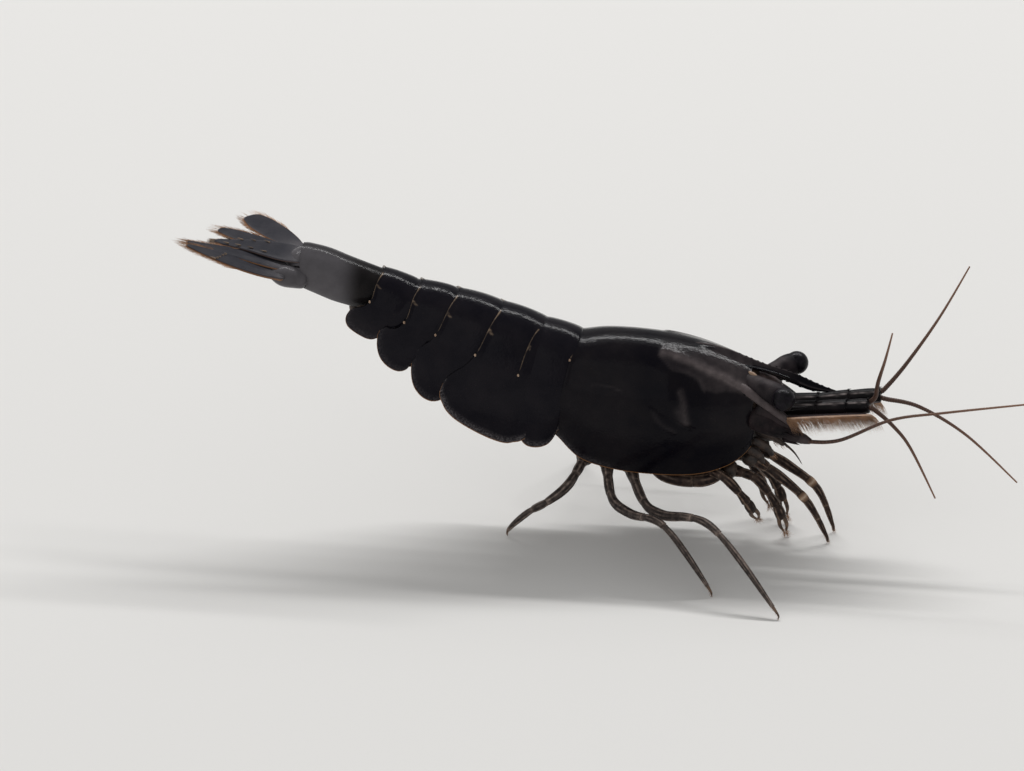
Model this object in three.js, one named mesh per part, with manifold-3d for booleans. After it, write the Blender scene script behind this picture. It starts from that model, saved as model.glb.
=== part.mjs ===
// Still, life-size model of a black dwarf aquarium shrimp, a freshwater animal about 25 mm long.
// It stands on its walking legs with its head down to feed and its tail raised.
//
// Millimetres, +Z up. The animal faces +X and its right side is towards -Y. Its feet stand on z = 0.
// Each shell plate, feeler and limb is one closed solid, and neighbours keep a thin joint gap.
import * as THREE from 'three';
import Module from 'manifold-3d';

const wasm = await Module();
wasm.setup();

// ---- Driving dimensions ----
const JOINT_GAP = 0.04;
const LIMB_RADIUS = 0.26; // legs and feelers are no thinner than this
const FIN_THICKNESS = 0.5;
const EYE_RADIUS = 0.5;

// ---- Shell colours ----
const finish = (color, roughness) => new THREE.MeshStandardMaterial({ color, roughness, metalness: 0 });
const SHELL = finish(0x17120f, 0.3);
const TAIL_SHELL = finish(0x2c2829, 0.35);
const LIMB_SHELL = finish(0x33231c, 0.4);
const FEELER_SHELL = finish(0x5a3a28, 0.45);
const EYE_SURFACE = finish(0x0b090c, 0.12);
const BELLY = finish(0x2a1d17, 0.5);

const shrimp = new THREE.Group();

function piece(name, geometry, material) {
  const mesh = new THREE.Mesh(geometry, material);
  mesh.name = name;
  shrimp.add(mesh);
}

const at = (x, y, z) => new THREE.Vector3(x, y, z);
const mix = THREE.MathUtils.lerp;
const SIDES = [
  { side: 'right', sign: -1 },
  { side: 'left', sign: 1 },
];
// A point given for the left side, moved to the side that `sign` names.
const onSide = ([x, y, z], sign) => at(x, sign * y, z);

// ---- Making solids ----
function signedVolume(points, triangles) {
  const cross = at(0, 0, 0);
  return triangles.reduce(
    (sum, [a, b, c]) => sum + points[a].dot(cross.crossVectors(points[b], points[c])) / 6,
    0,
  );
}

// A closed solid through rings of equal count. `outline` is the flat shape of a ring and closes both ends.
function loft(rings, outline) {
  const count = outline.length;
  const points = rings.flat();
  const last = points.length - count;
  const triangles = [];
  for (let start = 0; start < last; start += count) {
    for (let i = 0; i < count; i++) {
      const a = start + i;
      const b = start + ((i + 1) % count);
      triangles.push([a, b, a + count], [b, b + count, a + count]);
    }
  }
  const turned = THREE.ShapeUtils.isClockWise(outline);
  for (const [a, b, c] of THREE.ShapeUtils.triangulateShape(outline, [])) {
    triangles.push(turned ? [a, b, c] : [a, c, b]);
    triangles.push(turned ? [last + a, last + c, last + b] : [last + a, last + b, last + c]);
  }
  const outward = signedVolume(points, triangles) > 0;
  const geometry = new THREE.BufferGeometry().setFromPoints(points);
  geometry.setIndex(triangles.flatMap(([a, b, c]) => (outward ? [a, b, c] : [a, c, b])));
  return geometry;
}

const roundOutline = (sides) =>
  Array.from({ length: sides }, (_, i) => {
    const turn = ((i + 0.5) / sides) * 2 * Math.PI;
    return new THREE.Vector2(Math.cos(turn), Math.sin(turn));
  });

// A rod through stations {centre, across, up, width, thickness}. Each section is an ellipse.
function rod(stations, sides) {
  const outline = roundOutline(sides);
  const rings = stations.map(({ centre, across, up, width, thickness }) =>
    outline.map((p) =>
      centre.clone().addScaledVector(across, p.x * width).addScaledVector(up, p.y * thickness),
    ),
  );
  return loft(rings, outline);
}

// A tapering round rod along a list of points, whose section is carried along without twisting.
function rodAlong(points, radii, sides = 8) {
  const across = at(0, 0, 0);
  const end = points.length - 1;
  const stations = points.map((centre, i) => {
    const along = points[Math.min(i + 1, end)].clone().sub(points[Math.max(i - 1, 0)]).normalize();
    if (i === 0) {
      across.crossVectors(along, at(0, 0, 1));
    }
    across.addScaledVector(along, -across.dot(along)).normalize();
    const up = at(0, 0, 0).crossVectors(along, across);
    return { centre, across: across.clone(), up, width: radii[i], thickness: radii[i] };
  });
  return rod(stations, sides);
}

// A tube of one thickness along a smooth curve through the given points.
function tube(points, steps, sides) {
  const section = new THREE.Shape(roundOutline(sides).map((p) => p.multiplyScalar(LIMB_RADIUS)));
  const path = new THREE.CatmullRomCurve3(points.map((p) => at(...p)), false, 'catmullrom', 0.4);
  return new THREE.ExtrudeGeometry(section, { steps, extrudePath: path, bevelEnabled: false });
}

// A flat blade between two points. `widths` are half widths at even steps along it.
function blade(from, to, across, widths) {
  const along = to.clone().sub(from);
  const up = at(0, 0, 0).crossVectors(along, across).normalize();
  const stations = widths.map((width, i) => ({
    centre: from.clone().addScaledVector(along, i / (widths.length - 1)),
    across,
    up,
    width,
    thickness: FIN_THICKNESS / 2,
  }));
  return rod(stations, 8);
}

// ---- Body plates ----
// A body section is an arch that stands across the animal. Its sides hang down lower than its belly.
// Height 0 is the lower edge and 1 is the back, and the greatest half width is 1.
function archOutline({ shoulder, tuck, wall, belly, domeSteps, sideSteps }) {
  const half = [];
  for (let i = 1; i <= domeSteps; i++) {
    const turn = (i / domeSteps) * (Math.PI / 2);
    half.push([Math.sin(turn), shoulder + (1 - shoulder) * Math.cos(turn)]);
  }
  for (let i = 1; i <= sideSteps; i++) {
    const down = i / sideSteps;
    half.push([1 - tuck * down * down, shoulder * (1 - down)]);
  }
  half.push([1 - tuck - wall, 0], [1 - tuck - wall - 0.06, belly]);
  const right = half.map(([y, h]) => new THREE.Vector2(-y, h)).reverse();
  const left = half.map(([y, h]) => new THREE.Vector2(y, h));
  return [...right, new THREE.Vector2(0, 1), ...left];
}

// A section's `top` and `bottom` are [x, z] in the middle plane, and `width` is its half width.
const sectionPoint = ({ top, bottom, width }, across, height) =>
  at(mix(bottom[0], top[0], height), across * width, mix(bottom[1], top[1], height));

const placeOutline = (outline, section) => outline.map((p) => sectionPoint(section, p.x, p.y));

// Evenly spaced sections on a smooth skin through the given ones.
function smoothSections(sections, steps) {
  const through = (pairs) => new THREE.SplineCurve(pairs.map(([x, y]) => new THREE.Vector2(x, y)));
  const top = through(sections.map((s) => s.top));
  const bottom = through(sections.map((s) => s.bottom));
  const width = through(sections.map((s, i) => [i, s.width]));
  return Array.from({ length: steps + 1 }, (_, i) => ({
    top: top.getPoint(i / steps).toArray(),
    bottom: bottom.getPoint(i / steps).toArray(),
    width: width.getPoint(i / steps).y,
  }));
}

function skin(sections, steps, arch) {
  const outline = archOutline(arch);
  return loft(
    smoothSections(sections, steps).map((section) => placeOutline(outline, section)),
    outline,
  );
}

// The carapace covers the head and thorax. Its sections run from its rear edge to the front of the head.
const CARAPACE_SECTIONS = [
  { top: [0.88, 7.82], bottom: [0.12, 4.05], width: 1.8 },
  { top: [1.7, 7.96], bottom: [0.95, 3.32], width: 1.98 },
  { top: [2.8, 7.98], bottom: [2.2, 2.98], width: 2.06 },
  { top: [3.9, 7.9], bottom: [3.7, 2.88], width: 2.08 },
  { top: [5.0, 7.72], bottom: [5.2, 2.93], width: 1.98 },
  { top: [6.0, 7.45], bottom: [6.3, 3.22], width: 1.78 },
  { top: [6.75, 7.18], bottom: [7.05, 3.7], width: 1.5 },
  { top: [7.25, 6.96], bottom: [7.5, 4.3], width: 1.22 },
];
const CARAPACE_ARCH = { shoulder: 0.52, tuck: 0.24, wall: 0.18, belly: 0.1, domeSteps: 6, sideSteps: 4 };

// The rostrum is the thin spike that runs forward from the middle of the back, between the eyes.
const ROSTRUM = [
  { x: 5.4, top: 7.72, bottom: 7.0, width: 0.34 },
  { x: 6.4, top: 7.48, bottom: 6.8, width: 0.34 },
  { x: 7.2, top: 7.17, bottom: 6.58, width: 0.3 },
  { x: 8.1, top: 6.92, bottom: 6.4, width: 0.26 },
  { x: 8.9, top: 6.58, bottom: 6.08, width: 0.25 },
  { x: 9.6, top: 6.34, bottom: 5.98, width: 0.2 },
  { x: 10.3, top: 6.14, bottom: 6.0, width: 0.1 },
];

function rostrum() {
  const stations = ROSTRUM.map(({ x, top, bottom, width }) => ({
    centre: at(x, 0, (top + bottom) / 2),
    across: at(0, 1, 0),
    up: at(0, 0, 1),
    width,
    thickness: (top - bottom) / 2,
  }));
  return rod(stations, 8);
}

function toSolid(geometry) {
  const mesh = new wasm.Mesh({
    numProp: 3,
    vertProperties: Float32Array.from(geometry.getAttribute('position').array),
    triVerts: Uint32Array.from(geometry.getIndex().array),
  });
  return new wasm.Manifold(mesh);
}

function toGeometry(solid) {
  const mesh = solid.getMesh();
  const geometry = new THREE.BufferGeometry();
  geometry.setAttribute('position', new THREE.BufferAttribute(mesh.vertProperties, 3));
  geometry.setIndex(new THREE.BufferAttribute(mesh.triVerts, 1));
  return geometry;
}

const headShield = toSolid(skin(CARAPACE_SECTIONS, 14, CARAPACE_ARCH));
piece('carapace', toGeometry(headShield.add(toSolid(rostrum()))), SHELL);

// Where one abdominal plate meets the next, from the carapace back to the tail.
const PLATE_JOINTS = [
  { top: [0.82, 7.8], bottom: [0.0, 4.1], width: 1.72 },
  { top: [-0.55, 8.22], bottom: [-1.55, 4.1], width: 1.76 },
  { top: [-2.18, 8.76], bottom: [-4.25, 5.42], width: 1.68 },
  { top: [-3.92, 9.22], bottom: [-5.6, 6.52], width: 1.42 },
  { top: [-5.4, 9.5], bottom: [-6.9, 7.48], width: 1.2 },
  { top: [-6.75, 9.92], bottom: [-8.15, 8.27], width: 1.0 },
];
// How far each side lobe hangs below the line between its joints, and how far each back bulges.
const SIDE_LOBES = [0.36, 0.45, 0.5, 0.52, 0.16];
const BACK_BULGE = 0.09;
const PLATE_ARCH = { shoulder: 0.5, tuck: 0.17, wall: 0.26, belly: 0.3, domeSteps: 5, sideSteps: 3 };
const PLATE_STEPS = 5;

// The section of a plate at `t`, from 0 at its front joint to 1 at its rear joint.
function plateSection(index, t) {
  const front = PLATE_JOINTS[index];
  const back = PLATE_JOINTS[index + 1];
  const swell = Math.sin(Math.PI * t) ** 0.6;
  const lobe = SIDE_LOBES[index] * swell;
  return {
    top: [mix(front.top[0], back.top[0], t), mix(front.top[1], back.top[1], t) + BACK_BULGE * swell],
    bottom: [
      mix(front.bottom[0], back.bottom[0], t) - 0.25 * lobe,
      mix(front.bottom[1], back.bottom[1], t) - lobe,
    ],
    width: mix(front.width, back.width, t) + 0.5 * BACK_BULGE * swell,
  };
}

function plate(index) {
  const outline = archOutline(PLATE_ARCH);
  const front = PLATE_JOINTS[index].top;
  const back = PLATE_JOINTS[index + 1].top;
  const inset = JOINT_GAP / 2 / Math.hypot(front[0] - back[0], front[1] - back[1]);
  const rings = Array.from({ length: PLATE_STEPS + 1 }, (_, i) =>
    placeOutline(outline, plateSection(index, mix(inset, 1 - inset, i / PLATE_STEPS))),
  );
  return loft(rings, outline);
}

SIDE_LOBES.forEach((_, index) => {
  piece(`abdomen_${index + 1}`, plate(index), index < 4 ? SHELL : TAIL_SHELL);
});

// The sixth segment is a narrow barrel without side lobes.
const SIXTH_SECTIONS = [
  { top: [-6.82, 9.93], bottom: [-7.92, 8.52], width: 0.84 },
  { top: [-7.85, 10.28], bottom: [-8.5, 8.66], width: 0.88 },
  { top: [-8.8, 10.58], bottom: [-9.15, 8.9], width: 0.86 },
  { top: [-9.75, 10.84], bottom: [-9.75, 9.16], width: 0.78 },
];
const BARREL_ARCH = { shoulder: 0.52, tuck: 0.45, wall: 0.25, belly: 0.06, domeSteps: 4, sideSteps: 3 };
piece('abdomen_6', skin(SIXTH_SECTIONS, 6, BARREL_ARCH), TAIL_SHELL);

// ---- Swimmerets ----
// Each of the first five plates has a pair, folded forward in the channel between its side lobes.
const CHANNEL = 1 - PLATE_ARCH.tuck - PLATE_ARCH.wall;
const SWIMMERET = { from: 0.86, to: 0.14, height: 0.14, widths: [0.6, 0.95, 1, 0.9, 0.55] };

function swimmeret(index, sign) {
  const middle = sign * CHANNEL * 0.5;
  const room = CHANNEL * 0.5 * PLATE_JOINTS[index + 1].width - JOINT_GAP;
  return blade(
    sectionPoint(plateSection(index, SWIMMERET.from), middle, SWIMMERET.height),
    sectionPoint(plateSection(index, SWIMMERET.to), middle, SWIMMERET.height),
    at(0, 1, 0),
    SWIMMERET.widths.map((width) => width * room),
  );
}

// ---- Tail fan ----
const TELSON = {
  root: [-9.82, 0, 10.48],
  tip: [-13.1, 0, 10.62],
  widths: [0.5, 0.52, 0.47, 0.4, 0.32, 0.2],
};
// The right side of the fan is closed and the left side is spread.
const FIN_WIDTHS = [0.24, 0.32, 0.36, 0.36, 0.2];
const CLOSED_FIN_WIDTHS = [0.2, 0.22, 0.22, 0.2, 0.14];
const BROAD_FIN_WIDTHS = [0.26, 0.42, 0.48, 0.46, 0.26];
const FINS = {
  uropod_right_outer: { root: [-10.5, -1.3, 10.08], tip: [-13.95, -1.12, 11.0], widths: CLOSED_FIN_WIDTHS },
  uropod_right_inner: { root: [-10.5, -0.8, 10.4], tip: [-14.05, -0.62, 10.88], widths: CLOSED_FIN_WIDTHS },
  uropod_left_inner: { root: [-10.5, 0.86, 10.06], tip: [-13.28, 1.95, 10.22], widths: FIN_WIDTHS },
  uropod_left_outer: { root: [-10.3, 1.42, 10.05], tip: [-12.44, 3.65, 10.02], widths: BROAD_FIN_WIDTHS },
};
const FIN_BASE = {
  joints: [[-9.97, 0.56, 9.56], [-10.16, 0.76, 9.64], [-10.37, 0.99, 9.75]],
  radii: [0.34, 0.34, 0.26],
};

const levelAcross = (root, tip) => at(root.y - tip.y, tip.x - root.x, 0).normalize();

const finBlade = ({ root, tip, widths }) =>
  blade(root, tip, levelAcross(root, tip), widths);

const tailBlade = ({ root, tip, widths }) => finBlade({ root: at(...root), tip: at(...tip), widths });
piece('telson', tailBlade(TELSON), TAIL_SHELL);
for (const { side, sign } of SIDES) {
  const joints = FIN_BASE.joints.map((joint) => onSide(joint, sign));
  piece(`uropod_${side}_base`, rodAlong(joints, FIN_BASE.radii), TAIL_SHELL);
}
for (const [name, fin] of Object.entries(FINS)) {
  piece(name, tailBlade(fin), TAIL_SHELL);
}

// ---- Head ----
// A slim keel along the underside of the thorax carries the roots of the legs.
const KEEL = [
  { x: 0.75, top: 3.6, bottom: 3.0 },
  { x: 1.7, top: 3.3, bottom: 2.6 },
  { x: 3.6, top: 3.2, bottom: 2.4 },
  { x: 5.3, top: 3.25, bottom: 2.4 },
  { x: 6.5, top: 3.5, bottom: 2.8 },
  { x: 7.25, top: 4.1, bottom: 3.3 },
];
const KEEL_WIDTH = 0.42;
const keelStations = KEEL.map(({ x, top, bottom }) => ({
  centre: at(x, 0, (top + bottom) / 2),
  across: at(0, 1, 0),
  up: at(0, 0, 1),
  width: KEEL_WIDTH,
  thickness: (top - bottom) / 2,
}));
piece('thorax_keel', rod(keelStations, 10), BELLY);

const MOUTH = {
  joints: [[7.62, 0, 4.4], [8.0, 0, 4.25], [8.45, 0, 4.05], [8.8, 0, 3.98]],
  radii: [0.55, 0.54, 0.45, 0.27],
};
piece('mouthparts', rodAlong(MOUTH.joints.map((p) => at(...p)), MOUTH.radii, 10), BELLY);

// The right eye looks a little further down than the left one.
const EYES = { right: [8.5, -1.4, 6.3], left: [8.66, 1.36, 6.4] };
const EYESTALK = { root: [7.62, 0.78, 6.48], radii: [0.34, 0.37] };
for (const { side, sign } of SIDES) {
  const eye = at(...EYES[side]);
  const stalkRoot = onSide(EYESTALK.root, sign);
  const reach = stalkRoot.clone().sub(eye).normalize();
  const stalkEnd = eye.clone().addScaledVector(reach, EYE_RADIUS + JOINT_GAP);
  const ball = new THREE.IcosahedronGeometry(EYE_RADIUS, 3).translate(eye.x, eye.y, eye.z);
  piece(`eye_${side}`, ball, EYE_SURFACE);
  piece(`eyestalk_${side}`, rodAlong([stalkRoot, stalkEnd], EYESTALK.radii, 10), SHELL);
}

// Each first feeler has a stout three-part stem and two whips. Each second feeler has a short stem,
// a broad scale over it and one long whip.
const FIRST_STEM = {
  joints: [[7.72, 0.32, 5.26], [9.1, 0.31, 5.36], [10.5, 0.37, 5.56]],
  tips: { right: [11.66, -0.48, 5.76], left: [12.0, 0.45, 5.76] },
  radii: [0.26, 0.27, 0.28, 0.26],
};
const SECOND_STEM = {
  joints: [[7.72, 1.14, 5.2], [8.3, 1.18, 5.0], [8.8, 1.22, 4.76], [9.3, 1.24, 4.58]],
  radii: [0.4, 0.44, 0.36, 0.26],
};
const SCALE = { root: [8.9, 1.2, 5.5], tip: [11.6, 1.06, 5.58], widths: [0.26, 0.36, 0.36, 0.3, 0.16] };
const WHIPS = {
  whip_right_lower: [[11.85, -0.62, 5.7], [12.6, -0.8, 5.15], [13.3, -1.0, 4.35], [14.3, -1.35, 2.5]],
  whip_right_upper: [[11.88, -0.3, 6.0], [12.0, -0.7, 6.9], [12.3, -1.4, 8.2], [12.6, -2.2, 9.7]],
  whip_left_lower: [[12.2, 0.3, 5.7], [13.5, 0.2, 5.5], [15.3, -0.2, 4.65], [17.3, -0.8, 3.1]],
  whip_left_upper: [[12.16, 0.62, 5.98], [12.9, 1.2, 6.8], [14.0, 2.2, 8.3], [15.0, 3.2, 10.0]],
};
// The right one reaches forward, and the left one is swept back along the body.
const SECOND_FEELERS = {
  right: [
    [9.48, -1.28, 4.53], [10.7, -1.65, 4.85], [12.6, -1.75, 5.88], [14.6, -1.7, 6.3], [17.8, -2.1, 7.1],
  ],
  left: [
    [9.48, 1.3, 4.53], [10.02, 1.8, 4.4], [10.0, 2.5, 4.25], [9.3, 3.15, 4.05], [8.2, 3.65, 3.8],
    [6.4, 4.2, 3.55], [4.2, 4.7, 3.35], [1.5, 4.9, 3.2],
  ],
};

for (const { side, sign } of SIDES) {
  const stem = [...FIRST_STEM.joints.map((joint) => onSide(joint, sign)), at(...FIRST_STEM.tips[side])];
  piece(`first_feeler_stem_${side}`, rodAlong(stem, FIRST_STEM.radii), SHELL);
  const stub = SECOND_STEM.joints.map((joint) => onSide(joint, sign));
  piece(`second_feeler_stem_${side}`, rodAlong(stub, SECOND_STEM.radii), SHELL);
  const [root, tip] = [onSide(SCALE.root, sign), onSide(SCALE.tip, sign)];
  piece(`feeler_scale_${side}`, finBlade({ root, tip, widths: SCALE.widths }), LIMB_SHELL);
  piece(`second_feeler_${side}`, tube(SECOND_FEELERS[side], 18, 6), FEELER_SHELL);
}
for (const [name, points] of Object.entries(WHIPS)) {
  piece(name, tube(points, 10, 6), FEELER_SHELL);
}

// ---- Limbs under the thorax ----
// The joints of each limb run from the thorax keel to its tip. A walking leg ends in a short upright foot
// that stands flat on the floor, and the first two pairs are held clear of it.
const ANKLE = 0.3;
const standing = (...joints) => {
  const [x, y] = joints.at(-1);
  return [...joints, [x, y, ANKLE / 2], [x, y, 0]];
};
const LIMBS = {
  feeding_leg_right: standing(
    [7.45, -0.5, 3.2], [8.3, -0.56, 2.66], [9.42, -0.65, 1.68], [10.2, -0.75, ANKLE],
  ),
  feeding_leg_left: standing([7.45, 0.5, 3.2], [8.6, 0.45, 2.56], [9.72, 0.36, 1.7], [10.35, 0.15, ANKLE]),
  leg_1_right: [[6.5, -0.74, 2.75], [7.5, -0.6, 2.45], [8.3, -0.62, 1.35], [8.6, -0.5, 0.3]],
  leg_1_left: [[6.5, 0.74, 2.75], [7.5, 0.66, 2.4], [8.2, 0.8, 1.35], [8.5, 0.68, 0.4]],
  leg_2_right: [[5.6, -0.74, 2.7], [6.5, -1.45, 2.72], [7.2, -1.2, 1.75], [7.55, -0.6, 0.85]],
  leg_2_left: [[5.6, 0.74, 2.7], [6.5, 1.4, 2.65], [7.3, 1.4, 1.7], [7.8, 1.15, 0.6]],
  leg_3_right: standing(
    [2.7, -0.74, 2.7], [3.45, -2.3, 2.1], [4.3, -3.3, 2.1], [6.3, -4.75, 2.5], [8.9, -6.8, ANKLE],
  ),
  leg_3_left: standing([3.3, 0.74, 2.7], [3.8, 2.2, 2.3], [4.6, 3.6, 2.6], [5.9, 5.6, ANKLE]),
  leg_4_right: standing(
    [1.85, -0.74, 2.8], [2.25, -2.2, 2.1], [3.1, -3.2, 2.0], [4.5, -4.4, 2.2], [6.3, -5.5, ANKLE],
  ),
  leg_4_left: standing([2.0, 0.74, 2.8], [2.1, 2.0, 2.35], [2.4, 3.3, 2.6], [3.2, 4.9, ANKLE]),
  leg_5_right: standing(
    [1.05, -0.74, 2.95], [0.6, -2.1, 2.5], [-0.1, -2.5, 1.95], [-0.9, -2.3, 1.3], [-1.7, -1.9, ANKLE],
  ),
  leg_5_left: standing([1.05, 0.74, 2.95], [0.6, 2.0, 2.6], [0.2, 3.2, 2.5], [0.2, 4.5, ANKLE]),
};
for (const [name, joints] of Object.entries(LIMBS)) {
  piece(name, tube(joints, 16, 8), LIMB_SHELL);
}

for (const { side, sign } of SIDES) {
  SIDE_LOBES.forEach((_, index) => {
    piece(`swimmeret_${index + 1}_${side}`, swimmeret(index, sign), LIMB_SHELL);
  });
}

// ---- Place the model over the middle of its own base ----
const box = new THREE.Box3().setFromObject(shrimp);
const centre = box.getCenter(at(0, 0, 0));
for (const mesh of shrimp.children) {
  mesh.geometry.translate(-centre.x, -centre.y, -box.min.z);
}

export default shrimp;
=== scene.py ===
import math
import random

import bpy
from mathutils import Matrix, Vector


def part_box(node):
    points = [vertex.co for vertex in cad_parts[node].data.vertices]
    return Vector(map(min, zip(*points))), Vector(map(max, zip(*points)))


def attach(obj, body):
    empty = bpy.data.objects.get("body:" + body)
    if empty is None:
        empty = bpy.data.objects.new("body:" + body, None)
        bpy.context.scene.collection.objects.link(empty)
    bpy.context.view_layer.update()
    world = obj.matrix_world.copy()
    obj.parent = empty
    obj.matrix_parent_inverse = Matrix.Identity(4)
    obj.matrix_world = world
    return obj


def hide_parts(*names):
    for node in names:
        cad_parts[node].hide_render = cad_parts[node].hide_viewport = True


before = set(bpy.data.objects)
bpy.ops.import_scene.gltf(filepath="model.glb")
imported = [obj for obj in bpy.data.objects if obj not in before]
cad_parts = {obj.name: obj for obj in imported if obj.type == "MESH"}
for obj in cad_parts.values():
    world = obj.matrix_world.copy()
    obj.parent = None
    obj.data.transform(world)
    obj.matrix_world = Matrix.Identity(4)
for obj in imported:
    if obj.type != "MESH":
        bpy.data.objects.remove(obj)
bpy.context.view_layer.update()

MM = 0.001
# Corners closer together than this, in millimetres, become one.
TOUCH = 0.0004
SIDES = {"right": -1, "left": 1}
# The centres of the eyes. The left one ties the animal's own measure to the frame.
EYE = {"right": Vector((8.5, -1.4, 6.3)), "left": Vector((8.66, 1.36, 6.4))}

eye_low, eye_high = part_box("eye_left")
ORIGIN = (eye_low + eye_high) / 2 - EYE["left"] * MM
chance = random.Random(7)


# ---- Working by hand ----
def deselect():
    if bpy.context.object and bpy.context.object.mode != "OBJECT":
        bpy.ops.object.mode_set(mode="OBJECT")
    bpy.ops.object.select_all(action="DESELECT")


def pick(*pieces):
    deselect()
    for piece in pieces:
        piece.select_set(True)
    bpy.context.view_layer.objects.active = pieces[0]


def modify(piece, kind, **settings):
    """Adds a modifier and applies it."""
    pick(piece)
    modifier = piece.modifiers.new(kind.title(), kind)
    for name, value in settings.items():
        setattr(modifier, name, value)
    bpy.ops.object.modifier_apply(modifier=modifier.name)


def edit(piece, *steps):
    """Runs mesh steps on the whole of a piece."""
    pick(piece)
    bpy.ops.object.mode_set(mode="EDIT")
    bpy.ops.mesh.select_all(action="SELECT")
    for step in steps:
        step()
    bpy.ops.object.mode_set(mode="OBJECT")


def merge():
    bpy.ops.mesh.remove_doubles(threshold=TOUCH)


def face_outwards():
    bpy.ops.mesh.normals_make_consistent(inside=False)


def join(name, pieces):
    pick(*pieces)
    if len(pieces) > 1:
        bpy.ops.object.join()
    whole = bpy.context.object
    whole.name = whole.data.name = name
    return whole


def settle(piece, slot, material, *nodes):
    """Puts a piece in the frame with its finish, in place of the nodes that it stands for."""
    for corner in piece.data.vertices:
        corner.co.z = max(corner.co.z, 0)
    pick(piece)
    piece.matrix_world = Matrix.Translation(ORIGIN) @ Matrix.Diagonal((MM, MM, MM, 1))
    bpy.ops.object.transform_apply(location=True, rotation=True, scale=True)
    piece.data.materials.clear()
    piece.data.materials.append(material)
    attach(piece, "root")
    if nodes:
        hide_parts(*nodes)


def smooth(piece, angle):
    pick(piece)
    bpy.ops.object.shade_smooth_by_angle(angle=math.radians(angle))


def close_up(piece, angle=50):
    """Makes a closed body of a sheet whose edges meet, smooth but for corners sharper than an angle."""
    edit(piece, merge, face_outwards)
    smooth(piece, angle)
    return piece


# ---- Lines and curves ----
# The share of a blade's length at which it starts to round in to its tip, and the share that this takes.
TIP_START, TIP_LENGTH = 0.93, 0.07


def mix(a, b, t):
    return a + (b - a) * t


def ease(low, high, x):
    """A smooth step from 0 at low to 1 at high."""
    t = min(max((x - low) / (high - low), 0), 1)
    return t * t * (3 - 2 * t)


def bell(x, wide):
    """A smooth hump: 1 where x is 0, and fading out past wide on both sides."""
    return math.exp(-((x / wide) ** 2))


def dome(x):
    """A quarter circle: 0 at x = 0, and 1 from x = 1 on."""
    return math.sqrt(max(0, 1 - (1 - min(x, 1)) ** 2))


def tapered(v):
    """How a blade rounds in to its tip over the last stretch of its length."""
    return math.sqrt(max(0, 1 - max(0, (v - TIP_START) / TIP_LENGTH) ** 2))


def steady(value):
    """A mark that is the same all over a piece."""
    return lambda u, v: value


def on_side(side, *points, drop=0):
    """Points given for the left side, put on the named side. Those on the left are lowered by drop."""
    lower = drop if side == "left" else 0
    return [Vector((x, SIDES[side] * y, z - lower)) for x, y, z in points]


def scatter(spread):
    """A chance step of up to spread along each axis."""
    return Vector([chance.uniform(-spread, spread) for _ in range(3)])


def spline(values, t):
    """A smooth curve through evenly spaced values. It runs on straight past both ends."""
    last = len(values) - 1
    place = t * last
    if place < 0:
        return values[0] + (values[1] - values[0]) * place
    if place > last:
        return values[last] + (values[last] - values[last - 1]) * (place - last)
    i = min(int(place), last - 1)
    f = place - i
    before, a, b, after = values[max(i - 1, 0)], values[i], values[i + 1], values[min(i + 2, last)]
    start, end = (b - before) * 0.5, (after - a) * 0.5
    return (
        (a * 2 - b * 2 + start + end) * f**3
        + (b * 3 - a * 3 - start * 2 - end) * f**2
        + start * f
        + a
    )


def even(points, count):
    """count + 1 points at even spacing along a smooth curve through the given ones."""
    points = [Vector(p) for p in points]
    fine = [spline(points, i / (count * 8)) for i in range(count * 8 + 1)]
    reach = [0.0]
    for a, b in zip(fine, fine[1:]):
        reach.append(reach[-1] + (b - a).length)
    found, k = [], 0
    for i in range(count + 1):
        want = reach[-1] * i / count
        while k < len(fine) - 2 and reach[k + 1] < want:
            k += 1
        step = reach[k + 1] - reach[k] or 1
        found.append(fine[k].lerp(fine[k + 1], (want - reach[k]) / step))
    return found


def carried(points, side):
    """Two directions square to the line at each of its points, carried along without a twist."""
    side = Vector(side)
    frames = []
    for i in range(len(points)):
        along = (points[min(i + 1, len(points) - 1)] - points[max(i - 1, 0)]).normalized()
        side = (side - along * side.dot(along)).normalized()
        frames.append((side, along.cross(side)))
    return frames


# ---- Sheets, rods and blades ----
def sheet(name, across, along, place, **marks):
    """A grid whose corners are moved to place(u, v), with u across it and v along it, from 0 to 1.
    Each mark is a value from mark(u, v), which the finishes read."""
    deselect()
    bpy.ops.mesh.primitive_grid_add(x_subdivisions=across, y_subdivisions=along, size=2, calc_uvs=True)
    piece = bpy.context.object
    piece.name = piece.data.name = name
    values = {mark: piece.data.attributes.new(mark, "FLOAT", "POINT").data for mark in marks}
    for corner in piece.data.vertices:
        u, v = round((corner.co.x + 1) / 2, 6), round((corner.co.y + 1) / 2, 6)
        corner.co = place(u, v)
        for mark, value in marks.items():
            values[mark][corner.index].value = value(u, v)
    return piece


def rod(name, points, radii, side=(0, 0, 1), sides=12, rings=16, flat=1.0, blunt=0.5, **marks):
    """A closed rod along a smooth line, with evenly spaced radii and rounded ends."""
    line = even(points, rings)
    frames = carried(line, side)
    length = sum((b - a).length for a, b in zip(line, line[1:]))

    def place(u, v):
        i = round(v * rings)
        radius = spline(radii, v)
        for end, edge in ((v, radii[0]), (1 - v, radii[-1])):
            radius *= dome(end / max(edge * blunt / length, 1e-6))
        turn = 2 * math.pi * u
        up, out = frames[i]
        return line[i] + up * (math.cos(turn) * radius) + out * (math.sin(turn) * radius * flat)

    return close_up(sheet(name, sides, rings, place, **marks))


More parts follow.
